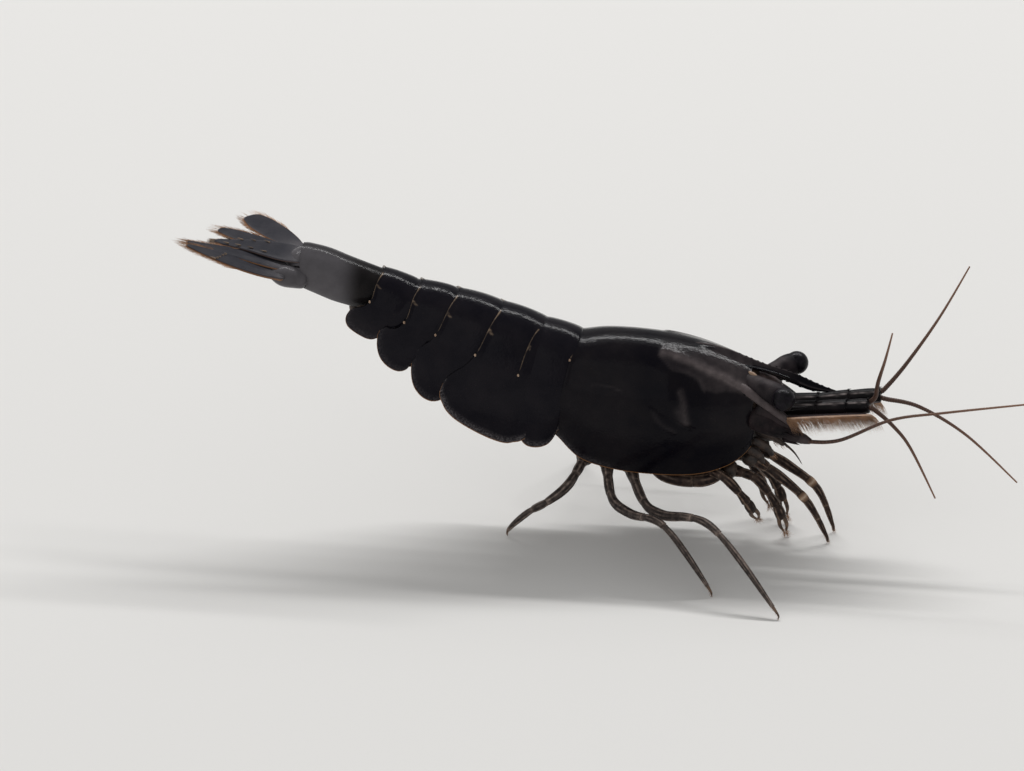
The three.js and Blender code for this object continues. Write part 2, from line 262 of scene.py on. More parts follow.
def blade(name, line, across, outer, inner, thick, rings=40, sides=24, ribs=(), rim=1.0, **marks):
    """A closed leaf along a line. outer and inner are its reach to either side at even steps, and each
    rib (place, height, width) is a ridge along it, with its place from -1 at the inner edge to 1."""
    line = even(line, rings)
    frames = carried(line, across)

    def place(u, v):
        i = round(v * rings)
        out, up = frames[i]
        turn = 2 * math.pi * u
        reach = math.cos(turn)
        width = spline(outer, v) if reach > 0 else spline(inner, v)
        end = tapered(v) * math.sqrt(min(1, v / 0.03))
        height = thick / 2 * abs(math.sin(turn)) ** 0.7 * (1 if math.sin(turn) >= 0 else -1)
        for spot, rise, breadth in ribs:
            height += rise * bell(reach - spot, breadth) * (1 - v) * (math.sin(turn) > 0)
        return line[i] + out * (reach * width * end) + up * (height * max(end, 0.25 * (0 < v < 1)))

    def edge(u, v):
        return rim * max(abs(math.cos(2 * math.pi * u)) ** 10, ease(0.96, 1.0, v))

    return close_up(sheet(name, sides, rings, place, edge=edge, **marks))


def ball(name, centre, radii, segments):
    deselect()
    bpy.ops.mesh.primitive_uv_sphere_add(segments=segments, ring_count=segments // 2, location=centre)
    piece = bpy.context.object
    piece.name = piece.data.name = name
    piece.scale = radii
    bpy.ops.object.transform_apply(location=True, rotation=True, scale=True)
    bpy.ops.object.shade_smooth()
    return piece


def spine(name, root, tip, radius, **marks):
    """A straight spine that tapers to its tip."""
    side = (0, 0, 1) if abs((tip - root).normalized().z) < 0.9 else (1, 0, 0)
    radii = [radius, radius * 0.62, radius * 0.1]
    return rod(name, [root, (root + tip) / 2, tip], radii, side=side, sides=8, rings=8, blunt=0.3, **marks)


# ---- Bristles ----
class Bristles:
    """Gathers fine tapering bristles and makes one mesh of them."""

    SIDES = 3
    RINGS = 4
    PATCH = 0.003

    def __init__(self):
        self.points, self.faces, self.maps = [], [], []

    def add(self, root, toward, length, radius, droop=(0, 0, 0), spot=(0.5, 0.5)):
        """One bristle. spot is where its root lies on a flat pattern of the skin that it grows from."""
        toward = Vector(toward).normalized()
        side = toward.orthogonal().normalized()
        start = len(self.points)
        corners = []
        for ring in range(self.RINGS):
            t = ring / self.RINGS
            centre = Vector(root) + toward * (length * t) + Vector(droop) * (length * t * t)
            thin = radius * (1 - t) ** 0.7
            for k in range(self.SIDES):
                turn = Matrix.Rotation(2 * math.pi * k / self.SIDES, 3, toward)
                self.points.append(centre + turn @ side * thin)
                corners.append((spot[0] + self.PATCH * k / self.SIDES, spot[1] + self.PATCH * t))
        self.points.append(Vector(root) + toward * length + Vector(droop) * length)
        corners.append((spot[0], spot[1] + self.PATCH))
        for ring in range(self.RINGS - 1):
            for k in range(self.SIDES):
                a, b = ring * self.SIDES + k, ring * self.SIDES + (k + 1) % self.SIDES
                self.face(start, corners, (a, b, b + self.SIDES, a + self.SIDES))
        last = (self.RINGS - 1) * self.SIDES
        for k in range(self.SIDES):
            self.face(start, corners, (last + k, last + (k + 1) % self.SIDES, len(corners) - 1))
        self.face(start, corners, (2, 1, 0))

    def face(self, start, corners, picked):
        self.faces.append(tuple(start + k for k in picked))
        self.maps.extend(corners[k] for k in picked)

    def make(self, name):
        mesh = bpy.data.meshes.new(name)
        mesh.from_pydata(self.points, [], self.faces)
        pattern = mesh.uv_layers.new(name="OFBake")
        for corner, spot in zip(pattern.data, self.maps):
            corner.uv = spot
        piece = bpy.data.objects.new(name, mesh)
        bpy.context.scene.collection.objects.link(piece)
        smooth(piece, 80)
        return piece


# ---- Finishes ----
class Finish:
    """A material built from nodes round one Principled shader."""

    def __init__(self, name, roughness, **settings):
        self.material = bpy.data.materials.new(name)
        self.material.use_nodes = True
        self.nodes, self.links = self.material.node_tree.nodes, self.material.node_tree.links
        self.shader = self.nodes["Principled BSDF"]
        self.shader.inputs["Roughness"].default_value = roughness
        for socket, value in settings.items():
            self.shader.inputs[socket.replace("_", " ")].default_value = value
        self.object = self.nodes.new("ShaderNodeTexCoord").outputs["Object"]

    def link(self, source, socket):
        self.links.new(source, socket)

    def noise(self, size, detail=4, roughness=0.55):
        """A cloudy pattern whose spots are about size millimetres across."""
        node = self.nodes.new("ShaderNodeTexNoise")
        node.inputs["Scale"].default_value = 1 / (size * MM)
        node.inputs["Detail"].default_value = detail
        node.inputs["Roughness"].default_value = roughness
        self.link(self.object, node.inputs["Vector"])
        return node.outputs["Fac"]

    def cells(self, size):
        """Distances to the middles of cells that are about size millimetres across."""
        node = self.nodes.new("ShaderNodeTexVoronoi")
        node.inputs["Scale"].default_value = 1 / (size * MM)
        self.link(self.object, node.inputs["Vector"])
        return node.outputs["Distance"]

    def ramp(self, source, *stops):
        """Turns a value into colours. Each stop is (place, (red, green, blue))."""
        node = self.nodes.new("ShaderNodeValToRGB")
        ramp = node.color_ramp
        while len(ramp.elements) < len(stops):
            ramp.elements.new(0.5)
        for element, (place, color) in zip(ramp.elements, stops):
            element.position = place
            element.color = (*color, 1)
        self.link(source, node.inputs["Fac"])
        return node.outputs["Color"]

    def mask(self, source, low, high, dark=0.0, light=1.0):
        """Grey that goes from dark to light as a value goes from low to high."""
        return self.ramp(source, (low, (dark,) * 3), (high, (light,) * 3))

    def blend(self, share, under, over):
        node = self.nodes.new("ShaderNodeMix")
        node.data_type = "RGBA"
        for socket, value in ((node.inputs[0], share), (node.inputs[6], under), (node.inputs[7], over)):
            if isinstance(value, tuple):
                socket.default_value = (*value, 1)
            elif isinstance(value, float):
                socket.default_value = value
            else:
                self.link(value, socket)
        return node.outputs[2]

    def attribute(self, name):
        node = self.nodes.new("ShaderNodeAttribute")
        node.attribute_name = name
        return node.outputs["Fac"]

    def along(self):
        """The place along a rod or sheet, from 0 to 1."""
        node = self.nodes.new("ShaderNodeUVMap")
        node.uv_map = "UVMap"
        split = self.nodes.new("ShaderNodeSeparateXYZ")
        self.link(node.outputs["UV"], split.inputs[0])
        return split.outputs["Y"]

    def math(self, operation, a, b=0.0):
        node = self.nodes.new("ShaderNodeMath")
        node.operation = operation
        for socket, value in zip(node.inputs, (a, b)):
            if isinstance(value, (int, float)):
                socket.default_value = value
            else:
                self.link(value, socket)
        return node.outputs[0]

    def times(self, a, b):
        return self.math("MULTIPLY", a, b)

    def color(self, source):
        self.link(source, self.shader.inputs["Base Color"])

    def gloss(self, source, low, high):
        node = self.nodes.new("ShaderNodeMapRange")
        node.inputs["To Min"].default_value = low
        node.inputs["To Max"].default_value = high
        self.link(source, node.inputs["Value"])
        self.link(node.outputs["Result"], self.shader.inputs["Roughness"])

    def bump(self, *layers):
        """Each layer is (height source, depth in millimetres)."""
        normal = None
        for source, depth in layers:
            node = self.nodes.new("ShaderNodeBump")
            node.inputs["Strength"].default_value = 1
            node.inputs["Distance"].default_value = depth * MM
            self.link(source, node.inputs["Height"])
            if normal is not None:
                self.link(normal, node.inputs["Normal"])
            normal = node.outputs["Normal"]
        self.link(normal, self.shader.inputs["Normal"])


BLACK = (0.0030, 0.0026, 0.0048)
BROWN_BLACK = (0.0064, 0.0053, 0.0070)
# SHEEN_SLATE is a painted grey sheen, laid over the dark shell of the tail and its fan wherever they carry
# the pale mark.
SHEEN_SLATE = (0.100, 0.094, 0.101)
GREY_BROWN = (0.135, 0.112, 0.112)
VEIL_GREY = (0.13, 0.12, 0.125)
IVORY = (0.52, 0.40, 0.30)
AMBER = (0.40, 0.19, 0.075)
JOINT_TAN = (0.40, 0.29, 0.20)
TAN = (0.42, 0.27, 0.17)
UMBER = (0.060, 0.034, 0.024)


def shell_finish(name, deep, light, speck, edging, roughness=(0.15, 0.26), pale=GREY_BROWN, patchy=0.5):
    """Shell with a soft gloss: mottled and finely pitted, with pale specks and thin amber edges. The marks
    pale, veil, joint and edge lighten it where a piece carries them."""
    finish = Finish(name, 0.4, Specular_IOR_Level=0.075)
    mottle = finish.ramp(finish.noise(0.9, 5), (0.38, deep), (0.68, light))
    fine = finish.mask(finish.noise(0.12, 3), 0.42, 0.75)
    base = finish.blend(finish.times(fine, 0.3), mottle, light)
    cloud = finish.mask(finish.noise(0.34, 5), 0.3, 0.66, dark=patchy)
    base = finish.blend(finish.times(finish.attribute("pale"), cloud), base, pale)
    streaks = finish.mask(finish.noise(0.07, 4, 0.7), 0.42, 0.62, dark=0.05)
    veil = finish.times(finish.attribute("veil"), streaks)
    base = finish.blend(finish.times(veil, 0.8), base, VEIL_GREY)
    dots = finish.mask(finish.cells(0.23), 0.0, 0.07, dark=1.0, light=0.0)
    base = finish.blend(finish.times(dots, speck), base, TAN)
    edge = finish.mask(finish.attribute("edge"), 0.45, 1.0)
    base = finish.blend(finish.times(edge, edging), base, AMBER)
    joint = finish.mask(finish.attribute("joint"), 0.2, 0.8)
    broken = finish.mask(finish.noise(0.25, 4), 0.34, 0.6, dark=0.25)
    finish.color(finish.blend(finish.times(joint, finish.times(broken, 0.6)), base, JOINT_TAN))
    finish.gloss(finish.noise(0.35, 3), *roughness)
    finish.bump((finish.noise(0.05, 2), 0.003), (finish.cells(0.11), -0.003), (finish.noise(0.8, 3), 0.02))
    return finish.material


def limb_finish(name, dark, light, pale):
    """Jointed limb: mottled, with pale streaks, and paler in uneven rings where its parts meet."""
    finish = Finish(name, 0.42, Specular_IOR_Level=0.11)
    shades = ((0.0, 1.0), (0.06, 0.15), (0.5, 0.0), (0.9, 0.12), (1.0, 1.0))
    bands = finish.ramp(finish.along(), *((place, (shade,) * 3) for place, shade in shades))
    uneven = finish.mask(finish.noise(0.22, 3), 0.35, 0.62, dark=0.15)
    mottle = finish.ramp(finish.noise(0.16, 4), (0.42, dark), (0.85, light))
    streaks = finish.times(finish.attribute("pale"), finish.times(uneven, 0.9))
    mottle = finish.blend(streaks, mottle, pale)
    finish.color(finish.blend(finish.times(bands, uneven), mottle, pale))
    finish.bump((finish.noise(0.06, 3), 0.006))
    return finish.material


def cuff_finish(name):
    """Pale cuff round a limb joint, brown towards both of its ends."""
    finish = Finish(name, 0.42, Specular_IOR_Level=0.14)
    brown, tan = (0.022, 0.013, 0.011), (0.27, 0.17, 0.11)
    bands = finish.ramp(finish.along(), (0.08, brown), (0.36, tan), (0.52, IVORY), (0.66, tan), (0.94, brown))
    mottle = finish.mask(finish.noise(0.12, 4), 0.35, 0.7)
    finish.color(finish.blend(finish.times(mottle, 0.4), bands, UMBER))
    finish.bump((finish.noise(0.06, 3), 0.006))
    return finish.material


def feeler_finish(name):
    """Feeler: orange brown, with a slightly paler ring at each of its many joints."""
    finish = Finish(name, 0.45, Specular_IOR_Level=0.3)
    rings = finish.math("FRACT", finish.times(finish.along(), 60.0))
    brown, pale = (0.060, 0.030, 0.021), (0.13, 0.072, 0.048)
    shade = finish.ramp(rings, (0.0, pale), (0.2, brown), (0.85, brown), (1.0, pale))
    tip = finish.mask(finish.along(), 0.25, 1.0)
    finish.color(finish.blend(finish.times(tip, 0.8), shade, (0.28, 0.15, 0.095)))
    return finish.material


def eye_finish(name):
    """Eye: black and smooth, with fine close facets."""
    finish = Finish(name, 0.32, Specular_IOR_Level=0.12)
    black, sheen = (0.0022, 0.0019, 0.0028), (0.014, 0.0105, 0.0155)
    finish.color(finish.ramp(finish.noise(0.2, 4), (0.4, black), (0.72, sheen)))
    finish.bump((finish.cells(0.035), 0.002))
    return finish.material


def skin_finish(name, dark, light):
    """Soft skin between shell plates."""
    finish = Finish(name, 0.5, Specular_IOR_Level=0.4)
    finish.color(finish.ramp(finish.noise(0.25, 5), (0.35, dark), (0.7, light)))
    finish.bump((finish.noise(0.09, 4), 0.02))
    return finish.material


def bristle_finish(name, color):
    finish = Finish(name, 0.42, Specular_IOR_Level=0.5)
    finish.color(finish.ramp(finish.noise(0.4, 2), (0.3, color), (0.7, tuple(c * 0.6 for c in color))))
    return finish.material


SHELL_GLOSS = (0.09, 0.17)
PLATE_BLACK, PLATE_SHEEN = (0.0056, 0.0050, 0.0080), (0.0105, 0.0090, 0.0120)
TAIL_DARK, TAIL_LIGHT = (0.006, 0.0055, 0.006), (0.014, 0.012, 0.012)
FIN_DARK, FIN_LIGHT = (0.020, 0.020, 0.027), (0.038, 0.036, 0.043)
STALK_DARK, STALK_LIGHT = (0.006, 0.005, 0.0065), (0.020, 0.015, 0.018)
SCALE_DARK, SCALE_LIGHT = (0.012, 0.009, 0.010), (0.035, 0.026, 0.027)
STEM_DARK, STEM_LIGHT, STEM_PALE = (0.0036, 0.003, 0.004), (0.016, 0.012, 0.013), (0.30, 0.26, 0.25)
BASE_DARK, BASE_LIGHT = (0.006, 0.005, 0.006), (0.034, 0.023, 0.024)
LIMB_DARK, LIMB_LIGHT, LIMB_PALE = (0.008, 0.0052, 0.0058), (0.055, 0.032, 0.026), (0.34, 0.24, 0.18)
WALKER_DARK, WALKER_LIGHT, WALKER_PALE = (0.018, 0.0145, 0.0145), (0.095, 0.075, 0.068), (0.36, 0.28, 0.235)

SHELL = shell_finish("black_shell", BLACK, BROWN_BLACK, 0.1, 0.8, SHELL_GLOSS)
PLATE = shell_finish("black_plate_shell", PLATE_BLACK, PLATE_SHEEN, 0.1, 0.8, SHELL_GLOSS)
# The tail and its fan take the painted grey sheen, SHEEN_SLATE, where they carry the pale mark.
TAIL = shell_finish("slate_sheen_tail_shell", TAIL_DARK, TAIL_LIGHT, 0.1, 0.6, (0.14, 0.24), SHEEN_SLATE, 0.85)
FIN = shell_finish("tail_fin_shell", FIN_DARK, FIN_LIGHT, 0.06, 0.6, (0.4, 0.55), SHEEN_SLATE)
STALK = shell_finish("brown_eye_stalk", STALK_DARK, STALK_LIGHT, 0.2, 0.5, (0.45, 0.6), patchy=0.3)
SCALE = shell_finish("feeler_scale_shell", SCALE_DARK, SCALE_LIGHT, 0.1, 0.35)
STEM = shell_finish("brown_feeler_stem", STEM_DARK, STEM_LIGHT, 0.25, 0.5, (0.25, 0.4), STEM_PALE, 0.2)
FEELER_BASE = shell_finish("brown_feeler_base", BASE_DARK, BASE_LIGHT, 0.25, 0.5, (0.3, 0.45))
LIMB = limb_finish("brown_limb_shell", LIMB_DARK, LIMB_LIGHT, LIMB_PALE)
WALKER = limb_finish("grey_brown_limb_shell", WALKER_DARK, WALKER_LIGHT, WALKER_PALE)
CUFF = cuff_finish("tan_joint_cuff")
FEELER = feeler_finish("ringed_feeler")
EYE_FINISH = eye_finish("dark_faceted_eye")
BRISTLE = bristle_finish("amber_bristles", (0.46, 0.27, 0.16))
BELLY_SKIN = skin_finish("belly_skin", (0.014, 0.010, 0.009), (0.060, 0.038, 0.027))
BEAD = skin_finish("ivory_joint", (0.22, 0.13, 0.08), (0.48, 0.35, 0.25))
BROW = skin_finish("brow_skin", (0.035, 0.026, 0.026), (0.15, 0.105, 0.10))
MOUTH = skin_finish("mouth_skin", (0.010, 0.007, 0.007), (0.06, 0.038, 0.028))
SWIM = skin_finish("swimmeret_skin", (0.018, 0.013, 0.012), (0.075, 0.048, 0.035))
CLAW = skin_finish("horn_claw", (0.035, 0.022, 0.016), (0.20, 0.12, 0.075))


# ---- Shape of the body ----
# Each table runs backwards or forwards at even steps, with the middle of the back as top, the lower edge of
# the side as low, and half the width. arch is the height of the shoulder and how far the side tucks in.
# Where one plate of the abdomen meets the next, from the carapace back to the tail:
PLATE_JOINTS = {
    "top_x": [0.82, -0.55, -2.18, -3.92, -5.4, -6.75],
    "top_z": [7.8, 8.22, 8.76, 9.22, 9.5, 9.92],
    "low_x": [0.0, -1.55, -4.25, -5.6, -6.9, -8.15],
    "low_z": [4.1, 4.1, 5.42, 6.52, 7.48, 8.27],
    "width": [1.72, 1.76, 1.68, 1.42, 1.2, 1.0],
    "arch": (0.5, 0.17),
}
# The carapace, from its rear edge to the front of the head:
CARAPACE = {
    "top_x": [0.88, 1.7, 2.8, 3.9, 5.0, 6.0, 6.75, 7.25],
    "top_z": [7.82, 7.96, 7.98, 7.9, 7.72, 7.45, 7.18, 6.96],
    "low_x": [0.12, 0.95, 2.2, 3.7, 5.2, 6.3, 7.05, 7.5],
    "low_z": [4.05, 3.32, 2.98, 2.88, 2.93, 3.22, 3.7, 4.3],
    "width": [1.8, 1.98, 2.06, 2.08, 1.98, 1.78, 1.5, 1.22],
    "arch": (0.52, 0.24),
}
# The sixth segment, from the last plate back to the tail fan:
SIXTH = {
    "top_x": [-6.7, -7.85, -8.8, -9.8],
    "top_z": [9.88, 10.28, 10.64, 10.84],
    "low_x": [-7.7, -8.5, -9.15, -9.85],
    "low_z": [8.46, 8.66, 8.9, 9.18],
    "width": [0.84, 0.88, 0.86, 0.8],
    "arch": (0.52, 0.45),
}
# The shares of half an arch that its round back and its straight side take.
BACK_SHARE, SIDE_SHARE = 0.58, 0.42


def arch(s, shoulder, tuck):
    """A point on an arch, as (across, height), with s from -1 at one lower edge over the back to 1."""
    a = abs(s)
    if a < BACK_SHARE:
        turn = a / BACK_SHARE * math.pi / 2
        across, height = math.sin(turn), shoulder + (1 - shoulder) * math.cos(turn)
    else:
        down = (a - BACK_SHARE) / SIDE_SHARE
        across, height = 1 - tuck * down * down, shoulder * (1 - down)
    return math.copysign(across, s), height


def body_point(table, t, s, lift=0.0, drop=0.0, drift=0.0):
    """A point on the skin of the body. lift raises it off the skin, drop lowers the side's edge, and drift
    moves that edge back."""
    top = Vector((spline(table["top_x"], t), spline(table["top_z"], t)))
    low = Vector((spline(table["low_x"], t) - drift, spline(table["low_z"], t) - drop))
    across, height = arch(s, *table["arch"])
    place = low.lerp(top, height)
    outward = (top - low).normalized() * lift * max(0, (height - 0.45) / 0.55)
    width = spline(table["width"], t) + lift
    return Vector((place.x + outward.x, across * width, place.y + outward.y))


def shell_sheet(name, across, along, place, thickness, **marks):
    """A shell plate: a shaped sheet given its thickness. Each mark is a value from
    mark(u, v, corner, near), where near("low") and near("rear") are the distances to those edges."""
    piece = sheet(name, across, along, place)
    spots = {}
    for loop, corner in zip(piece.data.loops, piece.data.uv_layers["UVMap"].data):
        spots[loop.vertex_index] = (round(corner.uv.x, 5), round(corner.uv.y, 5))
    where = {spot: piece.data.vertices[index].co.copy() for index, spot in spots.items()}

    def near_edges(u, v):
        here = where[u, v]
        ends = {"low": (where[0.0, v], where[1.0, v]), "rear": (where[u, 0.0],)}
        return lambda edge: min((here - end).length for end in ends[edge])

    for mark, value in marks.items():
        values = piece.data.attributes.new(mark, "FLOAT", "POINT").data
        for index, (u, v) in spots.items():
            values[index].value = value(u, v, where[u, v], near_edges(u, v))
    edit(piece, face_outwards)
    middle = min(where, key=lambda spot: abs(spot[0] - 0.5) + abs(spot[1] - 0.5))
    index = next(i for i, spot in spots.items() if spot == middle)
    if piece.data.vertices[index].normal.z < 0:
        edit(piece, bpy.ops.mesh.flip_normals)
    modify(piece, "SOLIDIFY", thickness=thickness, offset=-1, use_even_offset=True, use_rim=True)
    smooth(piece, 35)
    return piece


def amber_edge(u, v, corner, near):
    """A thin line along the lower edges of a shell plate."""
    return max(0, 1 - near("low") / 0.06)


# ---- Carapace ----
# The lower border of the paler part of the head starts along a fold of the cheek.
CHEEK_FOLD = [(3.84, 7.64), (4.09, 7.46), (4.41, 7.24), (4.8, 7.16), (5.17, 7.03), (5.42, 6.86), (5.61, 6.54)]
HEAD_BORDER = CHEEK_FOLD + [(6.05, 6.4), (6.4, 6.44), (7.05, 6.28), (7.6, 6.0)]
# Ridges and grooves on each side of the carapace: points (x, z), height, half width and paleness.
CREASES = (
    ([(3.97, 7.69), (4.73, 7.5), (5.51, 7.22), (6.29, 6.89), (7.03, 6.49), (7.5, 6.1)], 0.05, 0.1, 1.0),
    # The paleness along the cheek fold is a painted highlight on the fold.
    (CHEEK_FOLD, 0.03, 0.05, 0.3),
    ([(1.41, 6.6), (1.83, 6.59), (2.23, 6.56), (2.55, 6.44)], 0.02, 0.04, 0.16),
    ([(3.7, 6.03), (3.97, 5.77), (4.26, 5.61), (4.56, 5.35), (4.85, 5.16), (5.27, 5.02)], -0.06, 0.07, 0.0),
    ([(3.76, 5.74), (3.89, 5.44), (4.18, 5.14), (4.56, 4.94)], 0.03, 0.08, 0.16),
    ([(4.74, 6.5), (4.86, 6.16), (4.9, 5.75), (5.0, 5.32)], 0.03, 0.11, 0.45),
    ([(4.72, 5.8), (4.84, 5.42)], 0.0, 0.17, 0.3),
    ([(4.15, 7.0), (4.35, 6.3)], 0.06, 0.4, 0.0),
)


def border_height(x):
    for (ax, az), (bx, bz) in zip(HEAD_BORDER, HEAD_BORDER[1:]):
        if x <= bx:
            return az + (bz - az) * (x - ax) / (bx - ax)
    return HEAD_BORDER[-1][1]


def line_gap(x, z, line):
    """How far a point is from a line in the side view."""
    best = 9.0
    for (ax, az), (bx, bz) in zip(line, line[1:]):
        dx, dz = bx - ax, bz - az
        t = min(max(((x - ax) * dx + (z - az) * dz) / (dx * dx + dz * dz), 0), 1)
        best = min(best, math.hypot(x - ax - t * dx, z - az - t * dz))
    return best


def crease_lift(place):
    return sum(rise * bell(line_gap(place.x, place.z, line), wide) for line, rise, wide, _ in CREASES)


def carapace_front(a):
    """How far forward the front edge runs at a place a, from 0 on the back to 1 at the lower edge."""
    eye_notch = -0.055 * bell(a - 0.27, 0.1)
    cheek = 0.03 * bell(a - 0.46, 0.06)
    corner = -0.07 * ease(0.78, 1.0, a) ** 1.5
    return 1.0 + eye_notch + cheek + corner


def carapace_point(t, s, lift=0.0):
    bare = body_point(CARAPACE, t, s)
    crest = 0.19 * ease(4.8, 6.8, bare.x) * bell(bare.y, 0.16)
    return body_point(CARAPACE, t, s, lift=lift + crest + crease_lift(bare))


def saw_teeth(name, line, count, length, radius, rise):
    """A row of small forward-pointing teeth along a line."""
    spots = even(line, 60)
    teeth = []
    for i in range(count):
        k = round(60 * mix(0.05, 0.95, i / (count - 1)))
        root, ahead = spots[k], spots[k + 1]
        along = (ahead - root).normalized()
        tip = root + along * length + Vector(rise) * length
        teeth.append(spine(name, root - along * radius, tip, radius))
    return teeth


# The rostrum at even steps: how far forward, its upper and lower edges, and half its width.
ROSTRUM = {
    "x": [4.6, 5.4, 6.2, 7.0, 7.7, 8.4, 8.9, 9.4, 9.9, 10.36],
    "top": [7.7, 7.71, 7.56, 7.27, 7.01, 6.83, 6.66, 6.44, 6.23, 6.08],
    "low": [7.3, 7.12, 6.95, 6.8, 6.62, 6.37, 6.18, 6.01, 5.98, 6.04],
    "half": [0.1, 0.17, 0.195, 0.19, 0.165, 0.14, 0.12, 0.1, 0.06, 0.02],
}


def rostrum_line(edge, first, last):
    """Points along a stretch of the upper or lower edge of the rostrum."""
    shares = [mix(first, last, k / 12) for k in range(13)]
    return [Vector((spline(ROSTRUM["x"], t), 0, spline(ROSTRUM[edge], t))) for t in shares]


def make_rostrum():
    """A deep thin blade with a ridge along each side, and a row of teeth along both edges."""

    def place(u, v):
        turn = 2 * math.pi * u
        c = math.cos(turn)
        out = 0.72 * (1 - c * c) ** 0.9 + 0.42 * bell(c + 0.1, 0.2)
        z = mix(spline(ROSTRUM["low"], v), spline(ROSTRUM["top"], v), (1 + c) / 2)
        half = 0 if v in (0.0, 1.0) else spline(ROSTRUM["half"], v)
        return Vector((spline(ROSTRUM["x"], v), math.copysign(out * half, math.sin(turn)), z))

    def pale(u, v):
        c = math.cos(2 * math.pi * u)
        ridge = 0.4 * bell(c + 0.1, 0.16)
        # crest paints a highlight along the upper edge of the rostrum, weaker towards its tip.
        crest = ease(0.86, 0.97, c) * mix(0.8, 0.4, ease(0.4, 0.7, v))
        return ridge + crest + 0.3 * (1 - ease(0.42, 0.7, v))

    upper, lower = rostrum_line("top", 0.27, 0.97), rostrum_line("low", 0.56, 0.93)
    return [
        close_up(sheet("rostrum", 48, 70, place, pale=pale)),
        *saw_teeth("rostrum_tooth", upper, 16, 0.09, 0.022, (0, 0, 0.08)),
        *saw_teeth("rostrum_tooth", lower, 4, 0.1, 0.03, (0, 0, -0.12)),
    ]


def make_carapace():
    def place(u, v):
        s = 2 * u - 1
        t = mix(-0.045, carapace_front(abs(s)), v)
        lip = 0.05 * (1 - ease(0.0, 0.035, v)) + 0.03 * ease(0.98, 1.0, v)
        return carapace_point(t, s, lip)

    def joint(u, v, corner, near):
        a = abs(2 * u - 1)
        return max(0, 1 - near("rear") / 0.07) * ease(0.05, 0.1, a) * (1 - ease(0.27, 0.3, a))

    def veil(u, v, corner, near):
        return 0.4 * (1 - ease(0.1, 0.4, near("low"))) * (1 - ease(1.5, 3.0, corner.x))

    def pale(u, v, corner, near):
        lines = mix(0.6, 1.15, ease(4.6, 7.2, corner.x)) * sum(
            share * bell(line_gap(corner.x, corner.z, line), wide)
            for line, _, wide, share in CREASES if share
        )
        start = 3.8 + 1.5 * bell(corner.y, 0.55)
        above = ease(-0.04, 0.1, corner.z - border_height(corner.x)) * ease(start, start + 0.9, corner.x)
        cheek = 0.05 * ease(5.2, 6.4, corner.x) * ease(4.2, 5.0, corner.z)
        rear = 0.03 * (1 - ease(2.4, 3.6, corner.x))
        return min(1, lines + mix(0.14, 0.24, ease(4.6, 6.6, corner.x)) * above + cheek + rear)

    marks = {"edge": amber_edge, "joint": joint, "veil": veil, "pale": pale}
    parts = [shell_sheet("carapace_shell", 150, 96, place, 0.07, **marks), *make_rostrum()]
    flange = [(5.9, 0, 7.26), (7.0, 0, 7.02), (8.2, 0, 6.7), (9.4, 0, 6.2), (10.0, 0, 6.1)]
    widths = [0.44, 0.36, 0.24, 0.13, 0.04]
    parts.append(blade("rostrum_flange", flange, (0, 1, 0), widths, widths, 0.08, rim=0.0))
    for sign in SIDES.values():
        for a, length, radius in ((0.4, 0.34, 0.07), (0.93, 0.2, 0.06)):
            root = carapace_point(carapace_front(a) - 0.012, sign * a, -0.01)
            behind = carapace_point(carapace_front(a) - 0.1, sign * a, -0.01)
            tip = root + (root - behind).normalized() * length
            parts.append(spine("cheek_spine", behind, tip, radius))
    settle(join("carapace_shell", parts), "shell", SHELL, "carapace")


# ---- Under the shell ----
# The shares of a closed section that the arch and the belly under it take.
ARCH_TURN, BELLY_TURN = 0.72, 0.28


def hull(name, section, across, along, cap):
    """A closed body through section(u, v) = (point, centre), with both of its ends rounded in."""

    def place(u, v):
        point, centre = section(u, v)
        return centre + (point - centre) * dome(min(v, 1 - v) / cap)

    return close_up(sheet(name, across, along, place), 60)


def ring_section(table, shrink, belly, first, last, floor):
    """A closed section: the arch of the body without its lowest share, floor, and a belly of that depth
    that joins the two sides underneath. It runs between two places of the table."""

    def section(u, v):
        t = mix(first, last, v)
        middle = body_point(table, t, 0)
        low = body_point(table, t, 1)
        centre = Vector(((middle.x + low.x) / 2, 0, (middle.z + low.z) / 2))
        if u < ARCH_TURN:
            point = body_point(table, t, (2 * u / ARCH_TURN - 1) * (1 - floor))
        else:
            turn = (u - ARCH_TURN) / BELLY_TURN
            side = body_point(table, t, 1 - floor)
            down = (low - middle).normalized()
            point = side.lerp(Vector((side.x, -side.y, side.z)), turn)
            point = point + down * (belly * math.sin(math.pi * turn))
        return centre + (point - centre) * shrink, centre

    return section


def make_thorax():
    """The soft thorax under the carapace, with the thick first joints of the limbs in a row on each side."""
    section = ring_section(CARAPACE, shrink=0.93, belly=0.05, first=0.02, last=1.1, floor=0.12)
    parts = [hull("thorax_core", section, 56, 60, cap=0.06)]
    for line in (*FEEDING_LEGS.values(), *CLAWED_LEGS.values(), *WALKING_LEGS.values()):
        root, knee = Vector(line[0]), Vector(line[1])
        run = (knee - root).normalized()
        hip = [root - run * 0.25 + Vector((0, 0, 0.12)), root, root + run * 0.34]
        parts.append(rod("hip", hip, [0.34, 0.37, 0.24], side=(1, 0, 0), sides=18, rings=14, blunt=0.7))
    settle(join("thorax_core", parts), "underside", BELLY_SKIN, "thorax_keel")


def make_abdomen_core():
    section = ring_section(PLATE_JOINTS, shrink=0.9, belly=0.0, first=-0.06, last=1.0, floor=0.22)
    core = hull("abdomen_core", section, 48, 80, cap=0.04)
    for corner in core.data.vertices:
        corner.co.y *= 1 - 0.25 * ease(5.8, 7.2, -corner.co.x)
        place = corner.co.copy()
        along = place.x * 0.8 + place.z * 0.2
        under = ease(0.0, 1.0, -corner.normal.z)
        corner.co = place + corner.normal * (0.05 * under * math.sin(along * 4.2) ** 2)
    settle(core, "underside", BELLY_SKIN)


